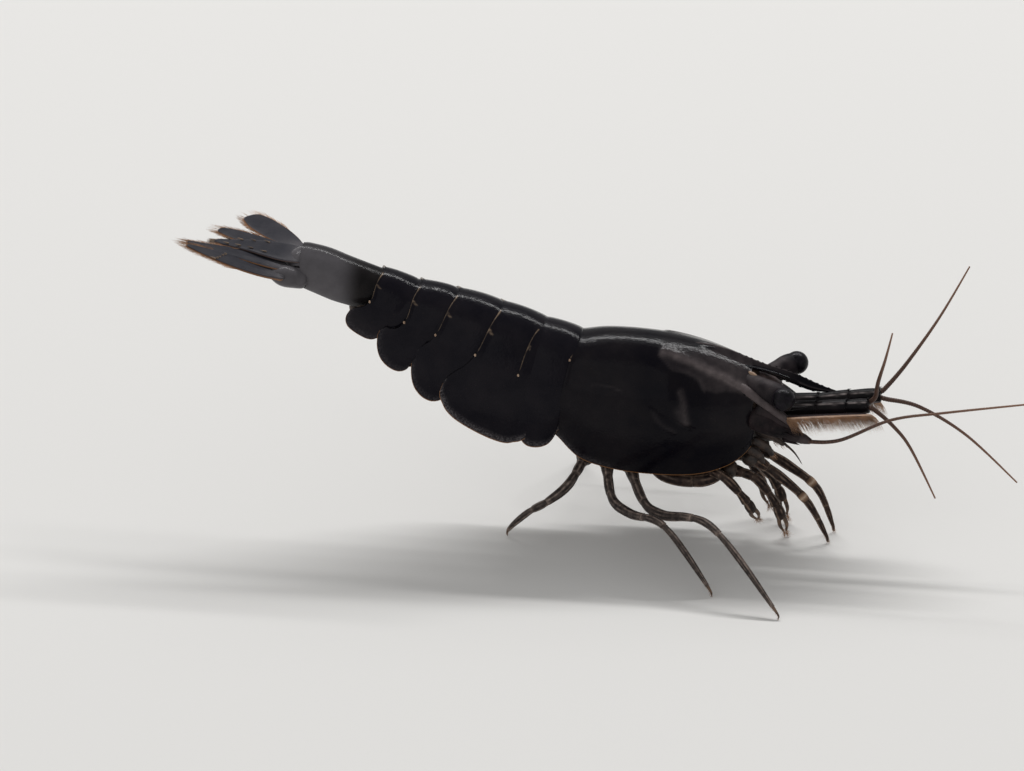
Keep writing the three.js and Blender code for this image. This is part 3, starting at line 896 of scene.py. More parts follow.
# ---- Abdomen ----
# How far the upper half of each plate's rear edge runs past its joint, at even steps from the back to the
# lower edge, in shares of the plate's length.
REAR_REACH = [
    [0.02, 0.2, 0.22, 0.1, 0.05],
    [0.0, 0.05, 0.0, 0.05, 0.05],
    [-0.05, 0.0, -0.05, 0.02, 0.05],
    [-0.1, -0.08, -0.22, -0.05, 0.05],
    [-0.07, -0.07, -0.27, -0.1, 0.0],
]
# For each plate: how deep its side lobe hangs, how far that fans out over its neighbours and stands off
# them, and how pale the veil along its lower edge is.
SIDE_LOBES = [0.36, 0.5, 0.52, 0.54, 0.2]
FANS = [0.0, 0.17, 0.03, 0.03, 0.0]
OVERLAPS = [0.0, 0.07, 0.0, 0.0, 0.0]
VEILS = [0.8, 1.0, 0.35, 0.25, 0.3]
BACK_BULGE = 0.09
# A side lobe moves back by this share of its depth.
LOBE_DRIFT = 0.25
# How far down each side the plates hinge.
HINGE = 0.5
PLATES = 5


def plate_point(index, across, along):
    """A point on an abdominal plate. along runs from 0 at its front joint to 1 at its rear joint."""
    a = abs(across)
    fan = FANS[index] * ease(0.5, 0.95, a)
    tuck = min(0, spline(REAR_REACH[index - 1], a)) - 0.06 if index else 0
    t = mix(-0.1 - fan + tuck, 1 + fan + spline(REAR_REACH[index], a), along)
    swell = math.sin(math.pi * min(max(t, 0), 1)) ** 0.6
    lobe = SIDE_LOBES[index] * mix(swell, 1, min(1, fan * 4))
    corner = 1 - math.sqrt(max(0, 1 - (1 - min(1, min(along, 1 - along) / 0.34)) ** 2.2))
    s = across * (1 - 0.2 * corner * ease(0.5, 1.0, a))
    rear_lip = mix(0.02, 0.055, ease(0.05, 0.2, a)) * ease(0.9, 1.0, along)
    lip = rear_lip - 0.05 * (1 - ease(0.0, 0.14, along))
    lift = BACK_BULGE * swell + lip + OVERLAPS[index] * ease(0.55, 0.85, a)
    return body_point(PLATE_JOINTS, (index + t) / PLATES, s, lift, drop=lobe, drift=LOBE_DRIFT * lobe)


def make_plate(index):
    def place(u, v):
        return plate_point(index, 2 * u - 1, 1 - v)

    def joint(u, v, corner, near):
        a, gap = abs(2 * u - 1), near("rear")
        width = mix(0.09, 0.045, ease(0.1, 0.22, a))
        line = max(0, 1 - gap / width) * ease(0.06, 0.1, a) * (1 - ease(HINGE - 0.06, HINGE, a))
        tick = bell(a - 0.29 - 0.1 * gap, 0.014) * (1 - ease(0.1, 0.42, gap))
        return max(line * mix(1.0, 0.6, ease(0.12, 0.3, a)), 0.7 * tick)

    def veil(u, v, corner, near):
        return VEILS[index] * (1 - ease(0.12, 0.42, near("low")))

    def pale(u, v, corner, near):
        return 0.06 * ease(0.6, 0.95, abs(2 * u - 1)) if index == 4 else 0.0

    marks = {"edge": amber_edge, "joint": joint, "veil": veil, "pale": pale}
    shell = shell_sheet(f"abdomen_plate_{index + 1}", 110, 40, place, 0.06, **marks)
    settle(shell, "shell" if index < 4 else "tail_shell", PLATE, f"abdomen_{index + 1}")


def make_hinges():
    """The ivory beads where each plate turns on the one before."""
    beads = []
    for sign in SIDES.values():
        beads.append(ball("hinge_bead", carapace_point(-0.045, sign * 0.3, 0.05), (0.045, 0.04, 0.055), 16))
        for index in range(PLATES):
            spot = plate_point(index, sign * HINGE, 1.0) + Vector((0, sign * 0.01, 0))
            beads.append(ball("hinge_bead", spot, (0.045, 0.04, 0.06), 16))
    settle(join("plate_hinges", beads), "shell", BEAD)


def make_sixth():
    base = ring_section(SIXTH, shrink=1.0, belly=0.1, first=-0.3, last=1.0, floor=0.06)

    def section(u, v):
        point, centre = base(u, v)
        return centre + (point - centre) * (1 - 0.06 * ease(0.9, 1.0, v)), centre

    barrel = hull("sixth_segment", section, 72, 60, cap=0.035)
    # The pale mark paints the tail's grey sheen: none at the front, full towards the rear, and weaker along
    # the crest.
    values = barrel.data.attributes.new("pale", "FLOAT", "POINT")
    for corner, value in zip(barrel.data.vertices, values.data):
        crest = bell(corner.co.y, 0.3) * ease(9.4, 9.9, corner.co.z)
        value.value = ease(7.4, 8.4, -corner.co.x) * (1 - 0.7 * crest)
    parts = [barrel]
    for side in SIDES:
        lower = on_side(side, (-9.5, 0.66, 9.4), (-10.12, 0.74, 9.36))
        upper = on_side(side, (-9.5, 0.7, 10.15), (-10.0, 0.72, 10.2))
        parts += [spine("sixth_spine", *lower, 0.1), spine("sixth_spine", *upper, 0.08)]
    settle(join("sixth_segment", parts), "tail_shell", TAIL, "abdomen_6")


# ---- Tail fan ----
TELSON_LINE = [(-9.6, 0, 10.3), (-10.6, 0, 10.42), (-11.7, 0, 10.58), (-13.12, 0, 10.68)]
TELSON_WIDTHS = [0.64, 0.74, 0.65, 0.48, 0.3, 0.16]
# Each fin's line, and its reach to the outer and inner side of it.
FINS = {
    "right_outer": (
        [(-10.2, -1.3, 9.98), (-11.4, -1.3, 10.3), (-12.7, -1.22, 10.66), (-13.98, -1.12, 11.0)],
        [0.3, 0.44, 0.48, 0.44, 0.3, 0.12],
        [0.3, 0.46, 0.5, 0.44, 0.28, 0.12],
    ),
    "right_inner": (
        [(-10.2, -0.8, 10.14), (-11.5, -0.74, 10.42), (-12.8, -0.68, 10.66), (-14.06, -0.62, 10.88)],
        [0.3, 0.36, 0.34, 0.28, 0.18, 0.12],
        [0.34, 0.52, 0.5, 0.41, 0.26, 0.12],
    ),
    "left_inner": (
        [(-10.2, 0.8, 10.0), (-11.2, 1.12, 10.1), (-12.2, 1.52, 10.16), (-13.3, 1.96, 10.22)],
        [0.26, 0.36, 0.4, 0.4, 0.34, 0.2],
        [0.26, 0.36, 0.4, 0.4, 0.34, 0.2],
    ),
    "left_outer": (
        [(-10.05, 1.26, 10.0), (-10.9, 2.04, 10.04), (-11.65, 2.82, 10.03), (-12.46, 3.67, 10.02)],
        [0.26, 0.44, 0.55, 0.58, 0.55, 0.4],
        [0.26, 0.42, 0.52, 0.54, 0.48, 0.3],
    ),
}


def fin_across(line, side):
    """The level direction square to a fin, towards the outside."""
    run = Vector(line[-1]) - Vector(line[0])
    across = Vector((-run.y, run.x, 0)).normalized()
    return -across if across.y * SIDES[side] < 0 else across


def fringe(hairs, line, across, outer, inner, count, length, radius, first, droop=(0, 0, 0)):
    """A fringe of bristles along both edges of a blade and round its end, from a share first of it on."""
    spots = even(line, 60)
    frames = carried(spots, across)
    for widths, sign in ((outer, 1), (inner, -1)):
        for k in range(count):
            t = mix(first, 1.0, k / (count - 1))
            i = min(60, round(t * 60))
            out, up = frames[i]
            along = (spots[min(60, i + 1)] - spots[max(0, i - 1)]).normalized()
            root = spots[i] + out * (sign * spline(widths, t) * tapered(t) * 0.97)
            splay = out * (sign * mix(0.5, 0.12, t) * chance.uniform(0.7, 1.3))
            toward = along + splay + up * chance.uniform(-0.08, 0.08)
            reach = length * chance.uniform(0.8, 1.15)
            hairs.add(root, toward, reach, radius, droop, (0.5 + 0.4 * sign * t, t * 0.99))


def fin_root(u, v):
    """The tail fan pales towards its roots with a painted grey sheen, and a thin pale line runs along each
    blade's inner edge.
    """
    line = bell(math.cos(2 * math.pi * u) + 0.9, 0.06)
    return max(0.9 * (1 - ease(0.0, 0.3, v)), 0.5 * line)


def make_telson(hairs):
    """The middle blade of the tail fan, with two rows of short spines and a comb at its tip."""
    ribs = [(0.0, 0.05, 0.12), (0.55, 0.035, 0.1), (-0.55, 0.035, 0.1)]
    leaf = (TELSON_LINE, (0, 1, 0), TELSON_WIDTHS, TELSON_WIDTHS)
    parts = [blade("telson_plate", *leaf, 0.16, ribs=ribs, rim=0.6, pale=fin_root)]
    spots = even(TELSON_LINE, 60)
    for t, reach in ((0.42, 0.62), (0.56, 0.6), (0.7, 0.62), (0.83, 0.66)):
        for sign in SIDES.values():
            root = spots[round(60 * t)] + Vector((0.04, sign * (spline(TELSON_WIDTHS, t) * reach), 0.07))
            tip = root + Vector((-0.26, sign * 0.03, 0.09))
            parts.append(spine("telson_spine", root, tip, 0.035, joint=steady(0.9)))
    for share in (-1, -0.55, -0.2, 0.2, 0.55, 1):
        root = spots[-1] + Vector((0.08, share * 0.13, 0))
        tip = root + Vector((-0.34, share * 0.05, 0.02))
        parts.append(spine("telson_spine", root, tip, 0.028, joint=steady(0.7)))
    settle(join("telson_plate", parts), "tail_shell", FIN, "telson")
    fringe(hairs, *leaf, 16, 0.3, 0.008, 0.7)


def fin_seam(line, across, outer, inner):
    """The row of spines across an outer fin, with the longest one at its outer edge."""
    spots = even(line, 60)
    frames = carried(spots, across)
    spines = []
    for k in range(9):
        share = mix(0.92, -0.6, k / 8)
        i = round(60 * mix(0.66, 0.6, k / 8))
        out, up = frames[i]
        width = spline(outer if share > 0 else inner, i / 60)
        root = spots[i] + out * (share * width) + up * 0.07
        length, radius = (0.3, 0.04) if k == 0 else (0.12, 0.024)
        tip = root + (spots[i + 1] - spots[i]).normalized() * length + up * 0.02
        spines.append(spine("fin_spine", root, tip, radius, joint=steady(0.9)))
    return spines


def make_fin(hairs, name):
    line, outer, inner = FINS[name]
    side, place = name.split("_")
    leaf = (line, fin_across(line, side), outer, inner)
    ribs = [(0.12, 0.07, 0.1), (0.62, 0.03, 0.12), (-0.5, 0.03, 0.12)]
    if place == "outer":
        ribs.append((0.86, 0.05, 0.08))
    parts = [blade(f"tail_fin_{name}", *leaf, 0.13, rings=60, sides=32, ribs=ribs, pale=fin_root)]
    if place == "outer":
        parts += fin_seam(*leaf)
    settle(join(f"tail_fin_{name}", parts), "tail_shell", FIN, f"uropod_{name}")
    fringe(hairs, *leaf, 70, 0.5, 0.009, 0.42)


def make_fin_bases():
    """The knuckle that carries each side's two fins, with a spine, and the end of the body between them."""
    for side in SIDES:
        knuckle = on_side(
            side, (-9.5, 0.45, 9.62), (-9.95, 0.62, 9.72), (-10.3, 0.88, 9.86), (-10.9, 1.16, 10.08)
        )
        radii = [0.42, 0.43, 0.38, 0.12]
        # pale paints the tail's grey sheen all over the knuckle, and a little less over its spine.
        base = rod("fin_base", knuckle, radii, sides=28, rings=28, flat=1.1, pale=steady(1.0))
        root, tip = on_side(side, (-10.2, 1.12, 9.78), (-10.8, 1.32, 9.92))
        tooth = spine("fin_base_spine", root, tip, 0.09, pale=steady(0.8))
        settle(join(f"tail_fin_base_{side}", [base, tooth]), "tail_shell", TAIL, f"uropod_{side}_base")
    end = [(-9.3, 0, 9.95), (-9.8, 0, 9.98), (-10.6, 0, 10.12)]
    # The rump carries the painted grey sheen all over.
    rump = rod("rump", end, [0.66, 0.6, 0.12], sides=32, rings=24, flat=1.2, pale=steady(1.0))
    settle(rump, "tail_shell", TAIL)


# ---- Eyes ----
EYE_ROOTS = {"right": (7.05, -0.5, 6.5), "left": (7.7, 0.6, 6.2)}
GAZES = {"right": (0.5, -0.85, 0.1), "left": (0.85, 0.5, 0.15)}


def stalk_top_light(u, v):
    """Pale upper side of an eye stalk, painted light from above, with a dark spot in it."""
    spot = bell(u - 0.125, 0.075) * bell(v - 0.48, 0.13)
    gap = min(abs(u - 0.06), 1 - abs(u - 0.06))
    return (0.08 + 0.34 * bell(gap, 0.13)) * (1 - spot) * (1 - ease(0.5, 0.85, v))


def make_eyes():
    """Each eye is a dark ball that looks out of the cupped end of its stalk."""
    for side in SIDES:
        centre, root = EYE[side], Vector(EYE_ROOTS[side])
        gaze = Vector(GAZES[side]).normalized()
        globe = ball(f"eye_globe_{side}", centre + gaze * 0.1, (0.44, 0.44, 0.44), 64)
        settle(globe, "eye_surface", EYE_FINISH, f"eye_{side}")
        neck = [root, root.lerp(centre, 0.45), centre - gaze * 0.18, centre + gaze * 0.14]
        shape = {"sides": 40, "rings": 36, "blunt": 0.3, "pale": stalk_top_light}
        cup = rod(f"eye_stalk_{side}", neck, [0.36, 0.4, 0.445, 0.4], **shape)
        settle(cup, "shell", STALK, f"eyestalk_{side}")
    brow_line = [(6.9, 0, 6.35), (7.6, 0, 6.26), (8.4, 0, 6.1)]
    settle(rod("brow", brow_line, [0.38, 0.36, 0.14], sides=24, flat=1.5), "shell", BROW)
    for side in SIDES:
        # At the upper corner of each orbit a small ivory rod paints a glint of light.
        rim = on_side(side, (7.14, 0.56, 6.92), (7.32, 0.62, 6.83), (7.54, 0.66, 6.7), drop=0.3)
        settle(rod(f"orbit_glint_{side}", rim, [0.04, 0.085, 0.03]), "shell", BEAD)


# ---- Feelers ----
STEM_TIPS = {"right": (11.66, -0.48, 5.76), "left": (12.0, 0.45, 5.76)}
WHIPS = {
    "right_lower": [
        (11.6, -0.55, 5.72), (11.85, -0.62, 5.7), (12.6, -0.8, 5.15), (13.3, -1.0, 4.35), (14.3, -1.35, 2.5),
    ],
    "right_upper": [
        (11.6, -0.36, 5.82), (11.88, -0.42, 6.12), (12.0, -0.7, 6.9), (12.3, -1.4, 8.2), (12.6, -2.2, 9.7),
    ],
    "left_lower": [
        (11.95, 0.38, 5.74), (12.2, 0.3, 5.7), (13.5, 0.2, 5.5), (15.3, -0.2, 4.65), (17.3, -0.8, 3.1),
    ],
    "left_upper": [
        (11.95, 0.52, 5.86), (12.16, 0.62, 5.98), (12.9, 1.2, 6.8), (14.0, 2.2, 8.3), (15.0, 3.2, 10.0),
    ],
}
SECOND_FEELERS = {
    "right": [
        (9.4, -1.26, 4.5), (10.7, -1.65, 4.85), (12.6, -1.75, 5.88), (14.6, -1.7, 6.3), (17.8, -2.1, 7.1),
    ],
    "left": [
        (9.4, 1.26, 4.5), (10.02, 1.8, 4.4), (10.0, 2.5, 4.25), (9.3, 3.15, 4.05), (8.2, 3.65, 3.8),
        (6.4, 4.2, 3.55), (4.2, 4.7, 3.35), (1.5, 4.9, 3.2),
    ],
}


def stem_streaks(u, v):
    """Long pale streaks down the upper and lower sides of a stem part, partly translucent edges and partly
    painted highlights.
    """
    turn = 2 * math.pi * u
    waver = 0.05 * math.sin(7 * v) + 0.03 * math.sin(17 * v)
    high = bell(math.cos(turn + waver) - 0.82, 0.05)
    low = bell(math.cos(turn + 0.5 * waver) + 0.6, 0.07)
    return 0.9 * (high * ease(0.1, 0.3, v) + low * ease(0.2, 0.4, v)) * (1 - ease(0.85, 0.97, v))


def make_stem(side):
    """The three-part stem of a first feeler, widest at the front of each part, with a spiny rim."""
    joints = on_side(side, (7.6, 0.32, 5.26), (9.7, 0.33, 5.44), (10.85, 0.4, 5.62))
    joints.append(Vector(STEM_TIPS[side]))
    widths = [[0.27, 0.3, 0.3, 0.3], [0.27, 0.3, 0.3, 0.3], [0.26, 0.28, 0.29, 0.27]]
    shape = {"sides": 32, "rings": 40, "flat": 1.05, "blunt": 0.2, "pale": stem_streaks}
    parts = []
    for a, b, radii in zip(joints, joints[1:], widths):
        run = (b - a).normalized()
        parts.append(rod("stem_part", [a - run * 0.16, a.lerp(b, 0.5), b + run * 0.04], radii, **shape))
        for k in range(7):
            turn = math.pi * (k / 6) * 1.1 - 0.25
            out = Vector((0, -math.cos(turn) * 0.3, math.sin(turn) * 0.3))
            root = b - run * 0.1 + out
            parts.append(spine("stem_tooth", root, root + run * 0.16 + out * 0.03, 0.03))
    side_spine = on_side(side, (7.7, 0.78, 5.56), (8.7, 0.84, 5.62), (9.5, 0.8, 5.74), drop=0.5)
    parts.append(rod("stem_side_spine", side_spine, [0.16, 0.1, 0.015], sides=10, rings=12))
    settle(join(f"feeler_stem_{side}", parts), "shell", STEM, f"first_feeler_stem_{side}")


def ringed(name, line, thick, thin, joints):
    """A whip of many short joints, each a little narrower at its rear edge."""
    points = even(line, joints * 3)
    frames = carried(points, (0, 0.3, 1))
    length = len(points) - 1

    def place(u, v):
        i = round(v * length)
        radius = mix(thick, thin, (i / length) ** 0.8) * (0.9, 1.0, 1.06)[i % 3]
        if i in (0, length):
            radius = 0.0
        turn = 2 * math.pi * u
        up, out = frames[i]
        return points[i] + up * (math.cos(turn) * radius) + out * (math.sin(turn) * radius)

    return close_up(sheet(name, 10, length, place), 70)


def make_feelers(hairs):
    for side in SIDES:
        make_stem(side)
    for name, line in WHIPS.items():
        whip = ringed(f"feeler_whip_{name}", line, 0.1, 0.03, 70)
        settle(whip, "feeler_shell", FEELER, f"whip_{name}")
        if name.endswith("lower"):
            spots = even(line, 120)
            for i in range(6, 118, 3):
                toward = (0.6, chance.uniform(-0.5, 0.5), -1)
                hairs.add(spots[i], toward, 0.14, 0.006, spot=(0.3, i / 130))
    for side, line in SECOND_FEELERS.items():
        whip = ringed(f"second_feeler_whip_{side}", line, 0.08, 0.035, 150)
        settle(whip, "feeler_shell", FEELER, f"second_feeler_{side}")


def make_feeler_base(side):
    """The base of a second feeler: a spiny block and two joints that point forward and down, under a
    ridge and the web that hangs from it."""
    block = on_side(side, (7.3, 0.95, 5.25), (7.9, 1.14, 5.2), (8.4, 1.2, 5.0), (8.9, 1.22, 4.8))
    first = on_side(side, (8.5, 1.2, 4.95), (8.9, 1.22, 4.76), (9.2, 1.22, 4.62))
    second = on_side(side, (9.05, 1.22, 4.7), (9.35, 1.24, 4.58), (9.62, 1.26, 4.5))
    parts = [
        rod("feeler_block", block, [0.47, 0.51, 0.42, 0.26], sides=28, rings=28, blunt=0.4),
        rod("feeler_joint", first, [0.3, 0.3, 0.22], sides=24, blunt=0.4, pale=lambda u, v: 0.2 * v),
        rod("feeler_joint", second, [0.2, 0.19, 0.1], sides=20, blunt=0.4, pale=steady(0.5)),
    ]
    for radius, *ends in (
        (0.12, (8.5, 1.35, 4.62), (9.2, 1.34, 4.38)),
        (0.1, (8.5, 1.5, 4.95), (9.15, 1.6, 4.82)),
        (0.09, (8.7, 1.1, 4.55), (9.25, 1.1, 4.3)),
    ):
        parts.append(spine("base_spine", *on_side(side, *ends), radius))
    ridge = on_side(
        side, (6.8, 0.96, 6.52), (7.1, 1.1, 6.42), (7.6, 1.3, 6.16), (8.0, 1.42, 5.94),
        (8.43, 1.48, 5.64), (8.85, 1.48, 5.3), (9.25, 1.4, 4.96), drop=0.55,
    )
    fading = {"sides": 14, "rings": 40, "pale": lambda u, v: mix(0.85, 0.5, v)}
    parts.append(rod("base_ridge", ridge, [0.17, 0.17, 0.13, 0.04], **fading))
    web = on_side(side, (7.5, 1.05, 5.75), (8.0, 1.15, 5.55), (8.5, 1.25, 5.3), (9.0, 1.3, 4.98), drop=0.55)
    parts.append(rod("base_web", web, [0.36, 0.36, 0.28, 0.08], sides=20, rings=30, pale=steady(0.08)))
    settle(join(f"second_feeler_base_{side}", parts), "shell", FEELER_BASE, f"second_feeler_stem_{side}")


def make_scale(hairs, side):
    """The broad scale over a second feeler, on edge, with a fringe along its edges and end."""
    drop = 0.36
    points = ((8.3, 1.2, 5.38), (9.3, 1.24, 5.54), (10.5, 1.16, 5.64), (11.66, 1.05, 5.7))
    line = on_side(side, *points, drop=drop)
    tilt = 0.38 if side == "right" else -0.36
    across = Vector((0.02, SIDES[side] * 0.92, tilt)).normalized()
    leaf = (line, across, [0.26, 0.32, 0.32, 0.29, 0.25, 0.16], [0.26, 0.38, 0.42, 0.42, 0.36, 0.2])
    ribs = [(0.2, 0.05, 0.12), (0.85, 0.04, 0.1), (-0.45, 0.03, 0.14)]
    root, tip = on_side(side, (11.0, 1.34, 5.72), (11.5, 1.3, 5.74), drop=drop)
    parts = [
        blade(f"feeler_scale_{side}", *leaf, 0.1, rings=60, sides=32, ribs=ribs),
        spine("scale_spine", root, tip, 0.04, pale=steady(0.6)),
    ]
    settle(join(f"feeler_scale_{side}", parts), "limb_shell", SCALE, f"feeler_scale_{side}")
    fringe(hairs, *leaf, 420, 0.62, 0.017, 0.06, droop=(0, 0, -1.15))


# ---- Mouth ----
# The leaves on each side of the mouth: radius, root and tip.
MOUTH_LEAVES = (
    (0.2, (7.5, 0.5, 4.5), (8.5, 0.42, 3.82)),
    (0.2, (7.3, 0.62, 4.1), (8.1, 0.56, 3.42)),
    (0.19, (7.1, 0.72, 3.8), (7.8, 0.7, 3.12)),
    (0.15, (7.9, 0.34, 4.55), (8.75, 0.26, 4.25)),
)


def make_mouthparts(hairs):
    jaw = [(7.3, 0, 4.5), (7.8, 0, 4.32), (8.35, 0, 4.12), (8.78, 0, 3.98)]
    parts = [rod("jaw", jaw, [0.5, 0.5, 0.32, 0.1], sides=24, rings=24, flat=1.1)]
    for side, sign in SIDES.items():
        for radius, *ends in MOUTH_LEAVES:
            a, b = on_side(side, *ends)
            bow = (a + b) / 2 + Vector((0.14, sign * 0.08, 0.1))
            radii = [radius, radius * 0.95, radius * 0.35]
            parts.append(rod("mouth_leaf", [a, bow, b], radii, sides=16, rings=18, flat=0.55))
            for _ in range(14):
                step = [chance.uniform(*reach) for reach in ((-0.12, 0.06), (-0.08, 0.08), (-0.02, 0.12))]
                toward = (0.75, -sign * 0.1, -0.9 + chance.uniform(-0.3, 0.3))
                length = chance.uniform(0.16, 0.3)
                hairs.add(b + Vector(step), toward, length, 0.008, (0, 0, -0.02), (0.2, 0.3))
        palp = on_side(side, (7.6, 0.86, 4.6), (8.3, 1.0, 4.4), (8.9, 0.95, 3.9), (9.25, 0.85, 3.3))
        parts.append(rod("mouth_whip", palp, [0.09, 0.06, 0.04, 0.015], sides=8, rings=20))
    settle(join("mouth_leaves", parts), "underside", MOUTH, "mouthparts")


# ---- Limbs ----
FEEDING_LEGS = {
    "right": [
        (7.3, -0.5, 3.3), (8.3, -0.56, 2.66), (9.42, -0.65, 1.68), (10.2, -0.75, 0.3), (10.24, -0.76, 0.02),
    ],
    "left": [
        (7.3, 0.5, 3.3), (8.6, 0.45, 2.56), (9.72, 0.36, 1.7), (10.35, 0.15, 0.3), (10.38, 0.14, 0.02),
    ],
}
CLAWED_LEGS = {
    "leg_1_right": [(6.5, -0.7, 2.85), (7.5, -0.6, 2.45), (8.3, -0.62, 1.35), (8.62, -0.48, 0.22)],
    "leg_1_left": [(6.5, 0.7, 2.85), (7.5, 0.66, 2.4), (8.2, 0.8, 1.35), (8.52, 0.66, 0.3)],
    "leg_2_right": [(5.6, -0.7, 2.8), (6.45, -1.45, 2.82), (7.2, -1.2, 1.78), (7.58, -0.54, 0.72)],
    "leg_2_left": [(5.6, 0.7, 2.8), (6.5, 1.4, 2.65), (7.3, 1.4, 1.7), (7.84, 1.12, 0.5)],
}
WALKING_LEGS = {
    "leg_3_right": [
        (2.7, -0.7, 2.8), (3.45, -2.3, 2.1), (4.3, -3.3, 2.1), (6.3, -4.75, 2.5), (8.86, -6.77, 0.36),
        (8.98, -6.86, 0.0),
    ],
    "leg_3_left": [
        (3.3, 0.7, 2.8), (3.8, 2.2, 2.3), (4.6, 3.6, 2.6), (5.88, 5.55, 0.36), (5.96, 5.66, 0.0),
    ],
    "leg_4_right": [
        (1.85, -0.7, 2.9), (2.25, -2.2, 2.1), (3.1, -3.2, 2.0), (4.5, -4.4, 2.2), (6.27, -5.47, 0.36),
        (6.36, -5.54, 0.0),
    ],
    "leg_4_left": [
        (2.0, 0.7, 2.9), (2.1, 2.0, 2.35), (2.4, 3.3, 2.6), (3.18, 4.86, 0.36), (3.22, 4.96, 0.0),
    ],
    "leg_5_right": [
        (1.05, -0.7, 3.0), (0.6, -2.1, 2.5), (-0.1, -2.5, 1.95), (-0.9, -2.3, 1.3), (-1.68, -1.91, 0.34),
        (-1.74, -1.88, 0.0),
    ],
    "leg_5_left": [
        (1.05, 0.7, 3.0), (0.6, 2.0, 2.6), (0.2, 3.2, 2.5), (0.2, 4.47, 0.36), (0.2, 4.56, 0.0),
    ],
}


def limb_streaks(u, v):
    """Thin pale lines along the upper and lower sides of a limb part."""
    turn = 2 * math.pi * u
    waver = 0.04 * math.sin(11 * v)
    high = bell(math.cos(turn) - 0.86 + waver, 0.07)
    low = bell(math.cos(turn) + 0.72 + waver, 0.12)
    side = 0.6 * bell(math.cos(turn) - 0.2 + waver, 0.06)
    return max(high, low, side) * ease(0.02, 0.12, v) * (1 - ease(0.9, 0.98, v))


def limb_part(name, spots, a, b, radii, rings=20, flat=1.0, sides=24):
    """A rod along a limb between the shares a and b of its length, a little longer at both ends."""
    first, last = max(0, a - 0.007), min(1, b + 0.007)
    stretch = [spots[round(mix(first, last, i / 6) * (len(spots) - 1))] for i in range(7)]
    shape = {"side": (0, 0.2, 1), "sides": sides, "rings": rings, "flat": flat, "blunt": 0.35}
    return rod(name, stretch, radii, pale=limb_streaks, **shape)


def limb_parts(spots, *rows):
    """The parts of a limb. Each row is where one starts and ends, its radii, and its rings and flatness
    where they aren't the usual ones."""
    return [limb_part("part", spots, *row) for row in rows]


def heading(spots, i):
    """The direction of a line at one of its points."""
    return (spots[min(len(spots) - 1, i + 2)] - spots[max(0, i - 2)]).normalized()


def spinules(hairs, spots, a, b, count, reach, thick, out=(0, 0, -1), spread=0.5):
    """A row of short bristles along a limb between the shares a and b of its length."""
    last = len(spots) - 1
    for k in range(count):
        t = mix(a, b, k / (count - 1))
        i = min(last - 1, round(t * last))
        along = heading(spots, i)
        aside = Vector(out) + scatter(spread)
        aside = (aside - along * aside.dot(along)).normalized()
        length = reach * chance.uniform(0.7, 1.2)
        hairs.add(spots[i] + aside * 0.03, along * 0.8 + aside, length, thick, spot=(0.4, t * 0.9))


def tuft(hairs, root, toward, count, reach, spread, spot):
    toward = toward.normalized()
    for _ in range(count):
        aim = toward + scatter(spread)
        start = root + scatter(0.03)
        hairs.add(start, aim, reach * chance.uniform(0.6, 1.15), 0.007, spot=spot)


def make_feeding_legs(hairs):
    for side, line in FEEDING_LEGS.items():
        spots = even(line, 140)
        name = f"feeding_leg_{side}"
        parts = limb_parts(
            spots,
            (0.0, 0.16, [0.26, 0.24, 0.19]),
            (0.14, 0.53, [0.17, 0.2, 0.17, 0.15], 30, 0.85),
            (0.53, 0.77, [0.13, 0.15, 0.13, 0.12], 24, 0.9),
            (0.765, 0.985, [0.11, 0.11, 0.08, 0.05], 24, 0.9),
        )
        settle(join(name, parts), "limb_shell", LIMB, name)
        cuff = limb_part(f"{name}_joint", spots, 0.49, 0.585, [0.158, 0.176, 0.145], rings=16, flat=0.95)
        settle(cuff, "limb_shell", CUFF)
        claw = limb_part(f"{name}_claw", spots, 0.955, 1.0, [0.05, 0.035, 0.008], sides=10, rings=10)
        settle(claw, "limb_shell", CLAW)
        for k in range(26):
            t = mix(0.78, 0.98, k / 25)
            i = round(t * (len(spots) - 1))
            for aside in ((-0.6, 0.7, 0), (-0.6, -0.7, 0), (0.5, 0.4, 0), (0.5, -0.4, 0)):
                toward = heading(spots, i) + Vector(aside) * 0.7
                hairs.add(spots[i], toward, 0.2 * chance.uniform(0.7, 1.2), 0.007, spot=(0.6, t * 0.9))
        spinules(hairs, spots, 0.2, 0.76, 22, 0.16, 0.007, (-0.4, 0, -1))


def make_clawed_legs(hairs):
    for name, line in CLAWED_LEGS.items():
        spots = even(line, 140)
        side = -1 if name.endswith("right") else 1
        parts = limb_parts(
            spots,
            (0.0, 0.14, [0.25, 0.23, 0.19]),
            (0.13, 0.25, [0.18, 0.19, 0.18]),
            (0.245, 0.5, [0.17, 0.19, 0.16], 24),
            (0.495, 0.655, [0.13, 0.16, 0.2]),
            (0.65, 0.83, [0.13, 0.2, 0.21, 0.18], 24, 0.75),
        )
        settle(join(name, parts), "limb_shell", LIMB, name)
        wrist = spots[round(0.8 * (len(spots) - 1))]
        run = (spots[-1] - wrist).normalized()
        up = run.cross(Vector((0, side, 0.2))).normalized()
        reach = (spots[-1] - wrist).length
        shape = {"side": (0, 1, 0), "rings": 18, "blunt": 0.6}
        fingers = []
        for sign in (-1, 1):
            knuckle = wrist + up * (sign * 0.09)
            middle = wrist + run * (reach * 0.55) + up * (sign * 0.13)
            tip = wrist + run * reach + up * (sign * 0.035)
            fingers.append(rod("finger", [knuckle, middle, tip], [0.085, 0.075, 0.03], **shape))
            tuft(hairs, tip, run + up * (sign * 0.25), 26, 0.34, 0.42, (0.7, 0.2))
            tuft(hairs, tip - run * 0.12, run + up * (sign * 0.5), 14, 0.24, 0.5, (0.7, 0.3))
        settle(join(f"{name}_claw", fingers), "limb_shell", CLAW)
        spinules(hairs, spots, 0.2, 0.75, 14, 0.14, 0.006)


